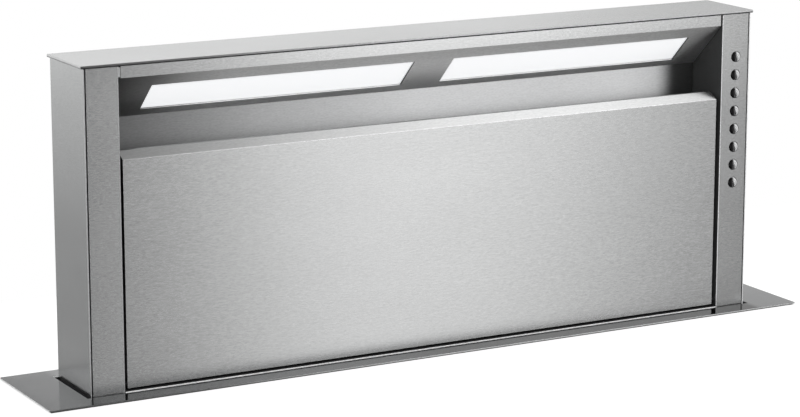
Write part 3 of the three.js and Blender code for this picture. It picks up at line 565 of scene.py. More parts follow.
def diode():
    """The yellow phosphor of a lit white diode."""
    finish = Finish("diode_phosphor", (0.9, 0.78, 0.36), 0.3)
    finish.glow((1.0, 0.9, 0.7), 0.9)
    speckle = finish.noise(0.3)
    finish.colour(speckle, 0.9, 1.05)
    finish.rough(speckle, 0.25, 0.4)
    return finish


def rubber(name, base, ribs=None):
    """Dusty black rubber, with ribs of that many millimetres along Z if they are given."""
    finish = Finish(name, base, 0.72)
    dust = finish.noise(18.0, detail=4.0)
    pores = finish.noise(0.5)
    finish.colour(dust, 0.75, 1.5)
    finish.rough(dust, 0.62, 0.84)
    finish.bump(pores, 0.02)
    if ribs:
        finish.bump(finish.wave(ribs, "Z"), 0.5)
    return finish


def moulded(name, base, roughness):
    """Moulded plastic with a fine spark-eroded grain."""
    finish = Finish(name, base, roughness)
    speckle = finish.noise(0.5, detail=3.0)
    clouds = finish.noise(40.0)
    finish.colour(finish.blend(speckle, clouds, 0.5), 0.86, 1.14)
    finish.rough(clouds, roughness - 0.06, roughness + 0.08)
    finish.bump(speckle, 0.02)
    return finish


# How much a sheet seems to lean, where its normals are turned.
LEANS = {"wall": -0.21, "recess": -0.36, "hem": 0.97}

# Light and shade painted into the colours of sheets, as slow changes of brightness: the recess and the
# tower's front darker towards their ends, the columns and end walls shaded along their height, the light
# panel darker under the fascia rail, the cover's and plate's outer edges darker to the left, a painted
# reflection of the tower on the trim plate and painted highlights on the buttons. Each row: a finish, an
# axis, and stops of (millimetres, factor).
RECESS_END = 364.0
PLATE_CORNER = 404.0
TOWER_FOOT, TOWER_HEAD = 600.0, 940.0
PAINTED_SHADING = (
    ("post_left", "Z", ((TOWER_FOOT, 1.0), (760.0, 0.94), (TOWER_HEAD, 0.88))),
    ("post_right", "Z", ((TOWER_FOOT, 0.82), (820.0, 0.83), (900.0, 0.96), (TOWER_HEAD, 1.0))),
    ("front", "X", (
        (-RECESS_END, 0.92), (-280.0, 0.95), (-180.0, 1.0), (150.0, 1.0), (280.0, 0.95),
        (RECESS_END, 0.92))),
    ("rail", "X", (
        (-RECESS_END, 0.79), (-180.0, 0.91), (0.0, 0.95), (180.0, 1.0), (RECESS_END, 1.0))),
    ("brushed_end", "Z", (
        (TOWER_FOOT, 0.66), (618.0, 0.84), (640.0, 0.88), (770.0, 0.85), (880.0, 0.93), (930.0, 1.0))),
    # A painted reflection and shadow of the tower on the trim plate: black across the right half of the
    # tower's width, paler towards its left end and beyond.
    ("plate", "X", (
        (-PLATE_END, 0.49), (-446.0, 0.6), (-412.0, 0.62), (-PLATE_CORNER, 1.0), (-180.0, 0.6),
        (0.0, 0.08), (200.0, 0.0), (PLATE_CORNER, 0.0), (412.0, 0.6), (PLATE_END, 0.6))),
    ("wall", "X", (
        (-RECESS_END, 0.26), (-320.0, 0.36), (-180.0, 0.75), (0.0, 1.0), (180.0, 0.92), (270.0, 0.95),
        (316.0, 0.85), (340.0, 0.48), (RECESS_END, 0.38))),
    ("recess", "Z", ((877.0, 1.0), (900.0, 1.0), (918.0, 0.72), (928.0, 0.69))),
    ("recess", "X", (
        (-RECESS_END, 0.11), (-325.0, 0.32), (-285.0, 0.74), (-240.0, 1.0), (320.0, 1.0),
        (RECESS_END, 0.92))),
    ("hem", "X", (
        (-RECESS_END, 0.5), (-320.0, 0.54), (-180.0, 0.78), (0.0, 0.97), (180.0, 1.0),
        (RECESS_END, 0.88))),
    ("fold_highlight", "X", ((-RECESS_END, 0.45), (-180.0, 0.8), (0.0, 1.0), (RECESS_END, 1.0))),
    ("edge", "X", ((-PLATE_END, 0.2), (-300.0, 0.3), (-150.0, 0.75), (0.0, 1.0), (PLATE_END, 0.9))),
    # A painted highlight and shade on each button: dark on its left side and bright on its right.
    ("cap", "X", (
        (BUTTON_X - 5.8, 0.03), (BUTTON_X - 2.4, 0.03), (BUTTON_X - 0.4, 0.25), (BUTTON_X + 0.9, 1.0),
        (BUTTON_X + 5.8, 1.0))),
)


def make_finishes():
    """All the materials of the part, by short names."""
    made = {
        "brushed": brushed("brushed_steel_along_x"),
        # post_left, post_right, front and rail are copies of the brushed steel, each one carrying its own
        # painted shading.
        "post_left": brushed("post_steel_left"),
        "post_right": brushed("post_steel_right"),
        "front": brushed("front_panel_steel"),
        "rail": brushed("fascia_steel", (0.7, 0.705, 0.705)),
        "brushed_end": brushed(
            "brushed_steel_along_y", (0.72, 0.73, 0.73), (0.2, 0.26), "Y", anisotropy=0.5, contrast=0.04),
        "plate": brushed(
            "plate_steel_fine", (0.3, 0.305, 0.31), (0.09, 0.14), anisotropy=0.3, contrast=0.04,
            depth=0.0006),
        "wall": brushed("recess_steel_wall", (0.66, 0.665, 0.67), (0.3, 0.36), anisotropy=0.45),
        "recess": brushed("recess_steel_satin", (1.0, 1.0, 1.0), (0.36, 0.44)),
        "hem": brushed("brushed_steel_hem", (0.8, 0.805, 0.805), (0.3, 0.36)),
        # Darker brushed steel, painted shade on the front panel's side and lower folds and along the rear
        # of its top.
        "fold_shade": brushed("painted_fold_shade_steel", (0.3, 0.305, 0.305), (0.3, 0.38)),
        # Bright steel, a painted highlight along the front fold of the panel's top.
        "fold_highlight": ground("painted_fold_highlight_steel", (0.92, 0.925, 0.925), 0.4, 0.1),
        "shade": ground("shaded_steel", (0.045, 0.046, 0.046), 0.42, 0.3),
        "edge": ground("ground_edge_steel", (0.8, 0.805, 0.81), 0.42, 1.0),
        "rim": ground("ground_rim_steel", (0.5, 0.505, 0.51), 0.45, 0.6),
        # Pale matt steel, a painted highlight along the slot's long edges, the right column's inner edge,
        # the right end wall's front edge and the bottom rail's face.
        "highlight_strip": ground("painted_highlight_steel", (0.85, 0.855, 0.86), 0.5, 0.2),
        # Near-black, painted shadow in the gaps: the slot's ends, the cover's lower front edge, the light
        # panel's ends and window edges, the left column's outer side and the ends and top of the rails.
        "shadow_black": ground("painted_shadow_black", (0.018, 0.018, 0.019), 0.6, 0.0),
        "oxide": ground("black_oxide_steel", (0.06, 0.06, 0.062), 0.4, 0.6),
        "polished": polished("polished_steel", (0.8, 0.81, 0.82), 0.06),
        "cap": polished("button_steel", (0.9, 0.905, 0.91), 0.1),
        "screw": polished("bright_screw", (0.62, 0.63, 0.64), 0.22),
        "zinc": zinc_sheet(),
        "paint": dark_paint(),
        "aluminium": aluminium("bright_aluminium", (0.7, 0.71, 0.72), 0.34),
        "strands": aluminium("expanded_aluminium", (0.74, 0.75, 0.76), 0.3),
        "core": filter_core(),
        "glass": lit_glass(),
        "board": solder_mask(),
        "diode": diode(),
        "seal": rubber("seal_rubber", (0.02, 0.02, 0.022)),
        "belt": rubber("belt_rubber", (0.022, 0.022, 0.024), ribs=5.0),
        "black": moulded("black_plastic", (0.03, 0.031, 0.034), 0.5),
        "grey": moulded("grey_plastic", (0.35, 0.36, 0.37), 0.55),
    }
    for key, slope in LEANS.items():
        made[key].lean(slope)
    for key, axis, stops in PAINTED_SHADING:
        made[key].fade(axis, stops)
    return made


# ------------ mesh helpers

SHARP_ANGLE = math.radians(38.0)
ROUNDED_ANGLE = math.radians(32.0)
FLAT_ANGLE = math.radians(1.0)
SAME_POINT = 1e-6
# A face looks along an axis where that part of its normal is larger than FACING, and straight along it
# beyond STRAIGHT.
FACING = 0.5
STRAIGHT = 0.8


def to_object(name, shape, place=None):
    """Makes an object from a bmesh in millimetres, turned and moved by place if it is given."""
    if place is not None:
        shape.transform(place)
    shape.transform(Matrix.Scale(MM, 4))
    bmesh.ops.recalc_face_normals(shape, faces=shape.faces)
    for face in shape.faces:
        face.smooth = True
    for edge in shape.edges:
        edge.smooth = edge.calc_face_angle(0.0) < SHARP_ANGLE
    mesh = bpy.data.meshes.new(name)
    shape.to_mesh(mesh)
    shape.free()
    made = bpy.data.objects.new(name, mesh)
    scene.collection.objects.link(made)
    return made


def round_edges(piece, width, angle=ROUNDED_ANGLE, flat=True):
    """Rounds the edges that are sharper than an angle and, if it has flat faces, keeps them flat."""
    for edge in piece.data.edges:
        edge.use_edge_sharp = False
    bevel = piece.modifiers.new("round_edges", "BEVEL")
    bevel.width = width * MM
    bevel.segments = 2
    bevel.angle_limit = angle
    if flat:
        flats = piece.modifiers.new("flat_faces", "WEIGHTED_NORMAL")
        flats.weight = 80


def add_piece(name, shape, finish, body, place=None):
    """An object with its finish and the body that it rides on."""
    piece = to_object(name, shape, place)
    piece.data.materials.append(finishes[finish].material)
    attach(piece, body)
    return piece


def body_of(node):
    """The body that a CAD node rides on."""
    return frame["nodes"][node]["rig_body"]


def join_rings(shape, first, second):
    """A closed band of faces between two rings of points."""
    for i in range(len(first)):
        j = (i + 1) % len(first)
        shape.faces.new((first[i], first[j], second[j], second[i]))


def add_block(shape, low, high):
    """A box between two corners."""
    middle = [(a + b) / 2.0 for a, b in zip(low, high)]
    size = [b - a for a, b in zip(low, high)]
    place = Matrix.Translation(middle) @ Matrix.Diagonal((*size, 1.0))
    bmesh.ops.create_cube(shape, size=1.0, matrix=place)


def add_lathe(shape, profile, centre, axis, segments):
    """Turns (radius, height) points round an axis through centre; heights run along the axis."""
    turn = Z_AXIS.rotation_difference(axis)
    closed = profile[0] == profile[-1]
    rings = []
    for radius, height in profile[:-1] if closed else profile:
        count = segments if radius > 0.0 else 1
        ring = []
        for i in range(count):
            angle = 2.0 * math.pi * i / count
            point = Vector((radius * math.cos(angle), radius * math.sin(angle), height))
            ring.append(shape.verts.new(turn @ point + Vector(centre)))
        rings.append(ring)
    if closed:
        rings.append(rings[0])
    for first, second in zip(rings, rings[1:]):
        for i in range(segments):
            j = (i + 1) % segments
            corners = [first[i % len(first)], first[j % len(first)],
                       second[j % len(second)], second[i % len(second)]]
            unique = [v for k, v in enumerate(corners) if v not in corners[:k]]
            if len(unique) > 2:
                shape.faces.new(unique)


# ------------ fasteners and beads

# Heads as segments round and shares of (radius, height): a low round one with a sunk socket, and a
# flat dome with the broken pin in its middle.
SCREW = (24, ((0.0, 0.35), (0.336, 0.35), (0.42, 0.95), (0.62, 1.0), (0.88, 0.72), (1.0, 0.25)))
RIVET = (20, ((0.0, 0.55), (0.3, 0.55), (0.34, 0.98), (0.6, 0.92), (0.9, 0.45), (1.0, 0.0)))
HEAD_SINK = 0.2
BEAD_STEPS = 10
BEAD_ROUNDNESS = 1.5
BEAD_SINK = 0.3


def fasten(name, body, head, places, radius, height, turn=None):
    """One piece of many equal fasteners, at places of (centre, axis)."""
    segments, shares = head
    profile = [(radius * across, height * up) for across, up in shares]
    profile += [(radius, -HEAD_SINK), (0.0, -HEAD_SINK)]
    shape = bmesh.new()
    for centre, axis in places:
        add_lathe(shape, profile, centre, axis, segments)
    add_piece(name, shape, "screw", body, turn)


def add_bead(shape, start, end, normal, width, height):
    """A long pressed bead with round ends, raised along normal on a flat sheet."""
    start, end = Vector(start), Vector(end)
    along = (end - start).normalized()
    across = normal.cross(along)
    outline = []
    for middle, first in ((end, -math.pi / 2), (start, math.pi / 2)):
        for k in range(BEAD_STEPS + 1):
            angle = first + math.pi * k / BEAD_STEPS
            outline.append((middle, math.cos(angle), math.sin(angle)))
    rings = []
    for k in range(BEAD_STEPS):
        turn = math.pi / 2 * k / BEAD_STEPS
        reach = width / 2.0 * math.cos(turn)
        rise = height * math.sin(turn) ** BEAD_ROUNDNESS
        rings.append([shape.verts.new(
            base + along * (a * reach) + across * (b * reach) + normal * rise)
            for base, a, b in outline])
    for first, second in zip(rings, rings[1:]):
        join_rings(shape, first, second)
    shape.faces.new(rings[-1])
    floor = [shape.verts.new(vertex.co - normal * BEAD_SINK) for vertex in rings[0]]
    join_rings(shape, floor, rings[0])
    shape.faces.new(floor)


# ------------ pieces that follow the CAD

def both(name):
    """The names of a piece's right and left copies."""
    return tuple(f"{name}_{side}" for side in dict(SIDES))


# Finish, width of the rounded edges, nodes.
DRESSED = (
    ("plate", 0.3, ("trim_plate",)),
    ("seal", 0.2, ("rim_tape",)),
    ("seal", 0.5, ("slot_seal",)),
    ("brushed", 0.45, ("top_cover",)),
    ("brushed_end", 0.6, both("end_wall")),
    ("post_left", 0.6, ("column_left",)),
    ("post_right", 0.6, ("column_right",)),
    ("brushed", 0.6, ("bottom_rail",)),
    ("brushed", 0.3, ("rear_panel",)),
    ("rail", 0.3, ("fascia_rail",)),
    ("front", 0.8, ("front_panel",)),
    ("recess", 0.2, ("light_panel",)),
    ("wall", 0.2, ("recess_back_wall",)),
    ("glass", 0.3, both("light_glass")),
    ("board", 0.15, ("led_strip",)),
    ("oxide", 0.25, both("hinge_pin")),
    ("polished", 0.25, ("drive_shaft",)),
    ("black", 0.6, both("panel_magnet") + both("guide_shoe") + ("button_carrier", "cable_gland")),
    ("aluminium", 0.5, both("grease_filter")),
    ("zinc", 0.4, ("slot_frame", "housing_front", "housing_rear", "housing_right", "housing_left",
                    "housing_base", "duct_spigot", "carriage_beam")),
    ("zinc", 0.6, both("foot") + both("idler_bracket")),
    ("paint", 0.5, both("guide_rail") + both("shaft_bearing") + both("drive_pulley")
     + both("idler_pulley") + ("lift_gear_motor",)),
    ("belt", 0.3, both("lift_belt")),
    ("grey", 1.2, ("control_box",)),
)

# Planes across an axis that split a node's faces, so that a strip of them can take a second finish.
CUT_PLANES = {
    "column_right": ((X_AXIS, POST_LINE),),
    "column_left": ((X_AXIS, -POST_LINE),),
    "top_cover": ((Z_AXIS, COVER_LINE),),
    "front_panel": ((Y_AXIS, FOLD_LINE), (Y_AXIS, HEM_END)),
}

# The plate's faces beyond these lie at its outer edge, and those within them in its slot.
SLOT_SIDE = 60.0
SLOT_END = 420.0
# The columns' outer sides lie beyond this.
COLUMN_OUTER = 400.0
# The panel's sloping top looks forward more than this.
HEM_SLOPE = 0.2


def is_front(normal):
    return normal.y < -FACING


def is_side(normal):
    return abs(normal.x) > FACING


def is_upright(normal):
    return abs(normal.z) < FACING


def is_sloped(normal):
    """A face of the light panel's sheet, and none of the end faces round it and its windows, which take
    painted shadow.
    """
    return abs(normal.y) > FACING and abs(normal.z) > FACING


def is_hem(normal):
    """The panel's sloping top."""
    return normal.z > STRAIGHT and normal.y < -HEM_SLOPE


# Painted shade and painted highlights on strips of faces, beside ground edges: near-black steel in gaps
# and on faces that look into the dark of the tower, darker steel on the panel's folds, and bright steel as
# painted highlights along the panel's front fold, the right column's inner edge, the right end wall's
# front edge, the bottom rail's face and the slot's long edges. Each row: a node, a second finish, and a
# test on a face's normal and middle. A later line paints over an earlier one.
SECOND_FINISHES = (
    ("trim_plate", "edge", lambda n, m: is_upright(n) and abs(m.y) > SLOT_SIDE),
    ("trim_plate", "highlight_strip", lambda n, m: is_upright(n) and abs(m.y) < SLOT_SIDE),
    ("trim_plate", "shadow_black", lambda n, m: is_side(n) and abs(m.x) < SLOT_END),
    ("top_cover", "edge", lambda n, m: is_front(n) and m.z > COVER_LINE),
    ("top_cover", "shadow_black", lambda n, m: is_front(n) and m.z < COVER_LINE),
    ("light_panel", "shadow_black", lambda n, m: not is_sloped(n)),
    ("column_left", "rim", lambda n, m: is_front(n) and m.x > -POST_LINE),
    ("column_left", "shade", lambda n, m: is_side(n)),
    ("column_left", "shadow_black", lambda n, m: is_side(n) and m.x < -COLUMN_OUTER),
    ("column_right", "highlight_strip", lambda n, m: is_front(n) and m.x < POST_LINE),
    ("column_right", "shade", lambda n, m: abs(n.x) > STRAIGHT),
    ("column_right", "rim", lambda n, m: is_side(n) and m.x > COLUMN_OUTER),
    ("end_wall_left", "shade", lambda n, m: n.x > FACING),
    ("end_wall_left", "rim", lambda n, m: is_front(n)),
    ("end_wall_right", "shade", lambda n, m: n.x < -FACING),
    ("end_wall_right", "highlight_strip", lambda n, m: is_front(n)),
    ("fascia_rail", "shadow_black", lambda n, m: is_side(n)),
    ("bottom_rail", "highlight_strip", lambda n, m: is_front(n)),
    ("bottom_rail", "shadow_black", lambda n, m: n.z > FACING),
    ("front_panel", "fold_shade", lambda n, m: is_side(n) or n.z < -FACING),
    ("front_panel", "hem", lambda n, m: is_hem(n)),
    ("front_panel", "fold_highlight", lambda n, m: is_hem(n) and m.y < FOLD_LINE),
    ("front_panel", "fold_shade", lambda n, m: is_hem(n) and m.y > HEM_END),
)


def dress(node, finish, edge):
    """A copy of a CAD node with clean faces, rounded edges and its finish, which replaces it."""
    shape = bmesh.new()
    shape.from_mesh(frame["nodes"][node].data)
    bmesh.ops.remove_doubles(shape, verts=shape.verts, dist=SAME_POINT)
    bmesh.ops.dissolve_limit(shape, angle_limit=FLAT_ANGLE, verts=shape.verts, edges=shape.edges)
    shape.transform(Matrix.Scale(METRE, 4))
    for axis, distance in CUT_PLANES.get(node, ()):
        bmesh.ops.bisect_plane(
            shape, geom=shape.verts[:] + shape.edges[:] + shape.faces[:],
            plane_co=axis * distance, plane_no=axis)
    piece = add_piece(node + "_dressed", shape, finish, body_of(node))
    round_edges(piece, edge)
    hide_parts(node)
    return piece


def repaint(piece, finish, chosen):
    """Gives the faces that a test chooses by their normal and middle a second finish."""
    piece.data.materials.append(finishes[finish].material)
    index = len(piece.data.materials) - 1
    for face in piece.data.polygons:
        if chosen(face.normal, face.center / MM):
            face.material_index = index


def sink_glass(piece):
    """Moves a glass's face behind the sheet, so that the window's edges show, painted near-black as
    shadow.
    """
    for vertex in piece.data.vertices:
        depth = (vertex.co / MM - SLOPE_TOP).dot(SLOPE_INWARD)
        if depth < GLASS_SINK:
            vertex.co += SLOPE_INWARD * (GLASS_SINK - depth) * MM


def dress_nodes():
    """Replaces every CAD node but the buttons."""
    pieces = {}
    for finish, edge, nodes in DRESSED:
        for node in nodes:
            pieces[node] = dress(node, finish, edge)
    for node, finish, chosen in SECOND_FINISHES:
        repaint(pieces[node], finish, chosen)
    for node in both("light_glass"):
        sink_glass(pieces[node])


# ------------ buttons

BUTTON_SEGMENTS = 48
BUTTON_RADIUS = 5.75
BUTTON_PROUD = 0.6
BUTTON_EDGE = 0.15
BUTTON_EDGE_ANGLE = math.radians(50.0)
DOME_HEIGHT = 1.8
DOME_RADIUS = 5.25
DOME_STEPS = 14
GROOVE_RADIUS = 2.5
GROOVE_DEPTH = 0.28
GROOVE_WIDTH = 0.42
BUTTON_STEP = -0.3
STEM_RADIUS = 2.5
STEM_END = -10.0
FLANGE_RADIUS = 7.0
FLANGE_FRONT = -1.8
FLANGE_REAR = -3.0
# The rolled rim of a button's hole, as (radius, height in front of the column).
HOLE_RIM = (
    (6.02, -1.2), (6.02, -0.1), (6.08, 0.04), (6.16, 0.06), (6.26, 0.04), (6.3, -0.2),
    (6.2, -1.2), (6.02, -1.2))


def button_profile():
    """From the middle of the cap outwards and back to the stem; heights are in front of the column."""
    profile = []
    for i in range(DOME_STEPS + 1):
        turn = math.pi / 2 * i / DOME_STEPS
        radius = DOME_RADIUS * math.sin(turn)
        dip = GROOVE_DEPTH * math.exp(-((radius - GROOVE_RADIUS) / GROOVE_WIDTH) ** 2)
        profile.append((radius, BUTTON_PROUD + DOME_HEIGHT * math.cos(turn) - dip))
    profile += [
        (DOME_RADIUS, BUTTON_STEP), (BUTTON_RADIUS, BUTTON_STEP),
        (BUTTON_RADIUS, FLANGE_FRONT), (FLANGE_RADIUS, FLANGE_FRONT),
        (FLANGE_RADIUS, FLANGE_REAR), (STEM_RADIUS, FLANGE_REAR),
        (STEM_RADIUS, STEM_END), (0.0, STEM_END),
    ]
    return profile


def add_buttons():
    """Domed caps with a ring groove, each on its stem."""
    for node in BUTTONS:
        shape = bmesh.new()
        add_lathe(shape, button_profile(), button_place(node), -Y_AXIS, BUTTON_SEGMENTS)
        piece = add_piece(node + "_cap", shape, "cap", body_of(node))
        round_edges(piece, BUTTON_EDGE, BUTTON_EDGE_ANGLE, flat=False)
        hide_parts(node)


def add_button_rims():
    """The rolled rim of each hole in the column's face, in black as painted shade in the gap round each
    button.
    """
    shape = bmesh.new()
    for node in BUTTONS:
        add_lathe(shape, HOLE_RIM, button_place(node), -Y_AXIS, BUTTON_SEGMENTS)
    add_piece("button_hole_rims", shape, "black", "tower")


# ------------ filters

FILTER_LOW, FILTER_HIGH = cad_box("grease_filter_right")
FILTER_LEAN = 0.12157
FILTER_LENGTH = 215.0
FILTER_THICKNESS = 10.0
FILTER_FOOT = (0.0, FILTER_LOW.y, FILTER_LOW.z + FILTER_THICKNESS * math.sin(FILTER_LEAN))
FILTER_BORDER = 12.0
OPENING_X = (FILTER_LOW.x + FILTER_BORDER, FILTER_HIGH.x - FILTER_BORDER)
OPENING_Z = (FILTER_BORDER, FILTER_LENGTH - FILTER_BORDER)
# The mesh starts this far behind a face, in two layers of strands.
MESH_SINK = 0.3
STRAND_THICKNESS = 0.5
STRAND_PITCH = 7.0
STRAND_SLOPE = 0.55
STRAND_WIDTH = 1.1
SHORTEST_STRAND = 4.0
CORE_GAP = 1.35
CORE_OVERLAP = 0.5


def add_strand(shape, start, end, front):
    """A thin flat bar between two points of the filter's plane."""
    along = (end - start).normalized()
    side = Vector((-along.y, along.x)) * (STRAND_WIDTH / 2.0)
    plan = (start + side, start - side, end - side, end + side)
    low, high = (
        [shape.verts.new((point.x, y, point.y)) for point in plan]
        for y in (front, front + STRAND_THICKNESS))
    shape.faces.new(low)
    shape.faces.new(high)
    join_rings(shape, low, high)


def add_lattice(shape, slope, front):
    """Strands at one slope, clipped to the frame's opening."""
    (x0, x1), (z0, z1) = OPENING_X, OPENING_Z
    run = (z1 - z0) / abs(slope)
    count = int((x1 - x0 + run) / STRAND_PITCH)
    start = x0 - run if slope > 0.0 else x0
    for k in range(1, count):
        foot = start + k * STRAND_PITCH
        points = []
        for x in (x0, x1):
            z = z0 + (x - foot) * slope
            if z0 <= z <= z1:
                points.append(Vector((x, z)))
        for z in (z0, z1):
            x = foot + (z - z0) / slope
            if x0 < x < x1:
                points.append(Vector((x, z)))
        if len(points) >= 2 and (points[0] - points[1]).length > SHORTEST_STRAND:
            add_strand(shape, points[0], points[1], front)


def add_filter_details(side, mirror):
    """Outer mesh layers on both faces of a filter, its dark core and the rivets at its corners."""
    place = (Matrix.Diagonal((mirror, 1.0, 1.0, 1.0)) @ Matrix.Translation(FILTER_FOOT)
             @ Matrix.Rotation(-FILTER_LEAN, 4, "X"))
    strands = bmesh.new()
    for front in (MESH_SINK, FILTER_THICKNESS - MESH_SINK - 2.0 * STRAND_THICKNESS):
        add_lattice(strands, STRAND_SLOPE, front)
        add_lattice(strands, -STRAND_SLOPE, front + STRAND_THICKNESS)
    add_piece(f"filter_mesh_{side}", strands, "strands", "tower", place)
    (x0, x1), (z0, z1) = OPENING_X, OPENING_Z
    core = bmesh.new()
    add_block(core, (x0 - CORE_OVERLAP, CORE_GAP, z0 - CORE_OVERLAP),
              (x1 + CORE_OVERLAP, FILTER_THICKNESS - CORE_GAP, z1 + CORE_OVERLAP))
    add_piece(f"filter_core_{side}", core, "core", "tower", place)
    inset = FILTER_BORDER / 2.0
    corners = [((x, 0.0, z), -Y_AXIS) for x in (inset, x1 + inset) for z in (inset, FILTER_LENGTH - inset)]
    fasten(f"filter_rivets_{side}", "tower", RIVET, corners, radius=2.0, height=0.8, turn=place)


# ------------ tower and housing

REAR_SCREW_COLUMNS = (-392.0, -262.0, -131.0, 0.0, 131.0, 262.0, 392.0)
REAR_SCREW_ROWS = (620.0, 720.0, 824.0)
REAR_SCREW_TOP = 928.0
RIVET_END = 432.0
RIVET_ROWS = (70.0, 170.0, 270.0, 370.0, 470.0, 570.0)
RIVET_COLUMNS = (-324.0, -216.0, -108.0, 0.0, 108.0, 216.0, 324.0)
BASE_ROW = 55.0
# Screws in the housing's end walls, as (y, z): in a guide rail, an idler bracket and the base.
WALL_SCREWS = (
    (-34.0, 120.0), (-14.0, 120.0), (-34.0, 560.0), (-14.0, 560.0),
    (16.0, 571.5), (36.0, 571.5),
    (-40.0, BASE_ROW), (0.0, BASE_ROW), (40.0, BASE_ROW))
BEAD_ROWS = (150.0, 322.0, 494.0)
BEAD_ENDS = ((-400.0, -30.0), (30.0, 400.0))
WALL_BEAD_FOOT, WALL_BEAD_HEAD = 150.0, 520.0
FOOT_BOLT_X = (342.0, 422.0)
FOOT_BOLT_Y = (-36.0, 36.0)
FOOT_THICKNESS = 2.0


def rear_panel_screws():
    """Screws along the rear panel's top and down its ends."""
    grid = [(x, REAR_SCREW_TOP) for x in REAR_SCREW_COLUMNS]
    grid += [(x, z) for z in REAR_SCREW_ROWS for x in (REAR_SCREW_COLUMNS[0], REAR_SCREW_COLUMNS[-1])]
    places = [((x, TOWER_BACK, z), Y_AXIS) for x, z in grid]
    fasten("rear_panel_screws", "tower", SCREW, places, radius=3.4, height=1.1)


def housing_fasteners():
    """Rivets round the housing's front and rear, and screws in its end walls."""
    grid = [(x, z) for z in RIVET_ROWS for x in (-RIVET_END, RIVET_END)]
    grid += [(x, BASE_ROW) for x in RIVET_COLUMNS]
    for name, way in FACES:
        places = [((x, way * HOUSING_SIDE, z), way * Y_AXIS) for x, z in grid]
        fasten(f"housing_{name}_rivets", "housing", RIVET, places, radius=2.6, height=1.0)
    for name, way in SIDES:
        places = [((way * HOUSING_HALF, y, z), way * X_AXIS) for y, z in WALL_SCREWS]
        fasten(f"housing_{name}_screws", "housing", SCREW, places, radius=3.2, height=1.6)


def housing_beads():
    """Stiffening beads pressed into the housing's walls."""
    for name, way in FACES:
        shape = bmesh.new()
        y = way * HOUSING_SIDE
        for z in BEAD_ROWS:
            for x0, x1 in BEAD_ENDS:
                add_bead(shape, (x0, y, z), (x1, y, z), way * Y_AXIS, width=16.0, height=2.6)
        add_piece(f"housing_{name}_beads", shape, "zinc", "housing")
    for name, way in SIDES:
        shape = bmesh.new()
        foot, head = ((way * HOUSING_HALF, 0.0, z) for z in (WALL_BEAD_FOOT, WALL_BEAD_HEAD))
        add_bead(shape, foot, head, way * X_AXIS, width=14.0, height=2.4)
        add_piece(f"housing_{name}_bead", shape, "zinc", "housing")


def foot_bolts():
    """Bolt heads through the feet's flanges."""
    for name, way in SIDES:
        places = [((way * x, y, FOOT_THICKNESS), Z_AXIS) for x in FOOT_BOLT_X for y in FOOT_BOLT_Y]
        fasten(f"foot_bolts_{name}", "housing", SCREW, places, radius=4.5, height=2.6)


# ------------ electrics

LID_INSET = 2.0
LID_SINK = 1.0
LID_RISE = 1.6
LID_EDGE = 0.8
LID_SCREW_INSET = 9.0
# The first terminal's corners, from the box's upper left rear corner.
TERMINAL_LOW = Vector((34.0, -22.0, 1.2))
TERMINAL_HIGH = Vector((42.0, -12.0, 7.0))
TERMINAL_EDGE = 0.5
TERMINAL_COUNT = 8
TERMINAL_PITCH = 10.0

MOTOR_RADIUS = 26.0
MOTOR_DROP = 10.0
RIB_COUNT = 14
RIB_PITCH = 6.4
RIB_START = 16.0
RIB_SEGMENTS = 40
RIB = ((25.6, -1.0), (27.4, -0.8), (27.4, 0.8), (25.6, 1.0), (25.6, -1.0))
GEARBOX_WIDTH = 52.0
GEARBOX_SCREW_Y = (-24.0, 38.0)
GEARBOX_SCREW_Z = (54.0, 118.0)

# The diodes' row lies this far down the slope, on the strip's rear face.
DIODE_ROW = 15.6
STRIP_REAR = 4.4
DIODE_COUNT = 52
DIODE_PITCH = 12.47
DIODE_START = -314.0
DIODE_SIZE = (3.4, 2.8, 0.8)
PAD_SIZE = (6.0, 2.0, 0.22)


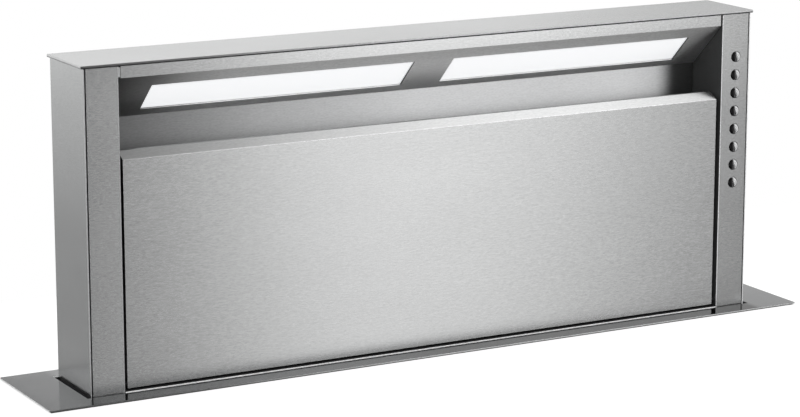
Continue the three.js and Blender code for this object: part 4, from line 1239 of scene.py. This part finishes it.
def control_box_details():
    """The lid of the control box with its screws, and a row of terminals."""
    low, high = cad_box("control_box")
    lid_top = high.z + LID_RISE
    lid = bmesh.new()
    add_block(lid, (low.x + LID_INSET, low.y + LID_INSET, high.z - LID_SINK),
              (high.x - LID_INSET, high.y - LID_INSET, lid_top))
    round_edges(add_piece("control_box_lid", lid, "grey", "housing"), LID_EDGE)
    places = [((x, y, lid_top), Z_AXIS)
              for x in (low.x + LID_SCREW_INSET, high.x - LID_SCREW_INSET)
              for y in (low.y + LID_SCREW_INSET, high.y - LID_SCREW_INSET)]
    fasten("control_box_screws", "housing", SCREW, places, radius=2.6, height=1.2)
    terminals = bmesh.new()
    for k in range(TERMINAL_COUNT):
        corner = Vector((low.x + TERMINAL_PITCH * k, high.y, high.z))
        add_block(terminals, corner + TERMINAL_LOW, corner + TERMINAL_HIGH)
    round_edges(add_piece("control_box_terminals", terminals, "black", "housing"), TERMINAL_EDGE)


def motor_details():
    """Cooling ribs round the motor and the gearbox's cover screws."""
    low, high = cad_box("lift_gear_motor")
    ribs = bmesh.new()
    for k in range(RIB_COUNT):
        centre = (low.x + RIB_START + RIB_PITCH * k, low.y + MOTOR_RADIUS, SHAFT_Z - MOTOR_DROP)
        add_lathe(ribs, RIB, centre, X_AXIS, RIB_SEGMENTS)
    add_piece("motor_ribs", ribs, "paint", "housing")
    places = [((x, y, z), way * X_AXIS)
              for z in GEARBOX_SCREW_Z for y in GEARBOX_SCREW_Y
              for x, way in ((high.x, 1.0), (high.x - GEARBOX_WIDTH, -1.0))]
    fasten("gearbox_screws", "housing", SCREW, places, radius=3.0, height=2.0)


def led_diodes():
    """Diodes and their solder pads along the strip, on its rear face."""
    place = Matrix.Translation(SLOPE_TOP) @ Matrix.Rotation(SLOPE_TURN, 4, "X")
    for name, finish, (length, width, height) in (
            ("led_diodes", "diode", DIODE_SIZE), ("led_pads", "screw", PAD_SIZE)):
        shape = bmesh.new()
        for k in range(DIODE_COUNT):
            x = DIODE_START + DIODE_PITCH * k
            add_block(shape, (x - length / 2.0, DIODE_ROW - width / 2.0, STRIP_REAR),
                      (x + length / 2.0, DIODE_ROW + width / 2.0, STRIP_REAR + height))
        add_piece(name, shape, finish, "tower", place)


# ------------ assembly

add_camera()
add_world()
add_lamps()
finishes = make_finishes()
add_floor()
add_worktop()
dress_nodes()
add_buttons()
add_button_rims()
for side_name, side_way in SIDES:
    add_filter_details(side_name, side_way)
rear_panel_screws()
housing_fasteners()
housing_beads()
foot_bolts()
control_box_details()
motor_details()
led_diodes()

scene.view_settings.view_transform = "Standard"
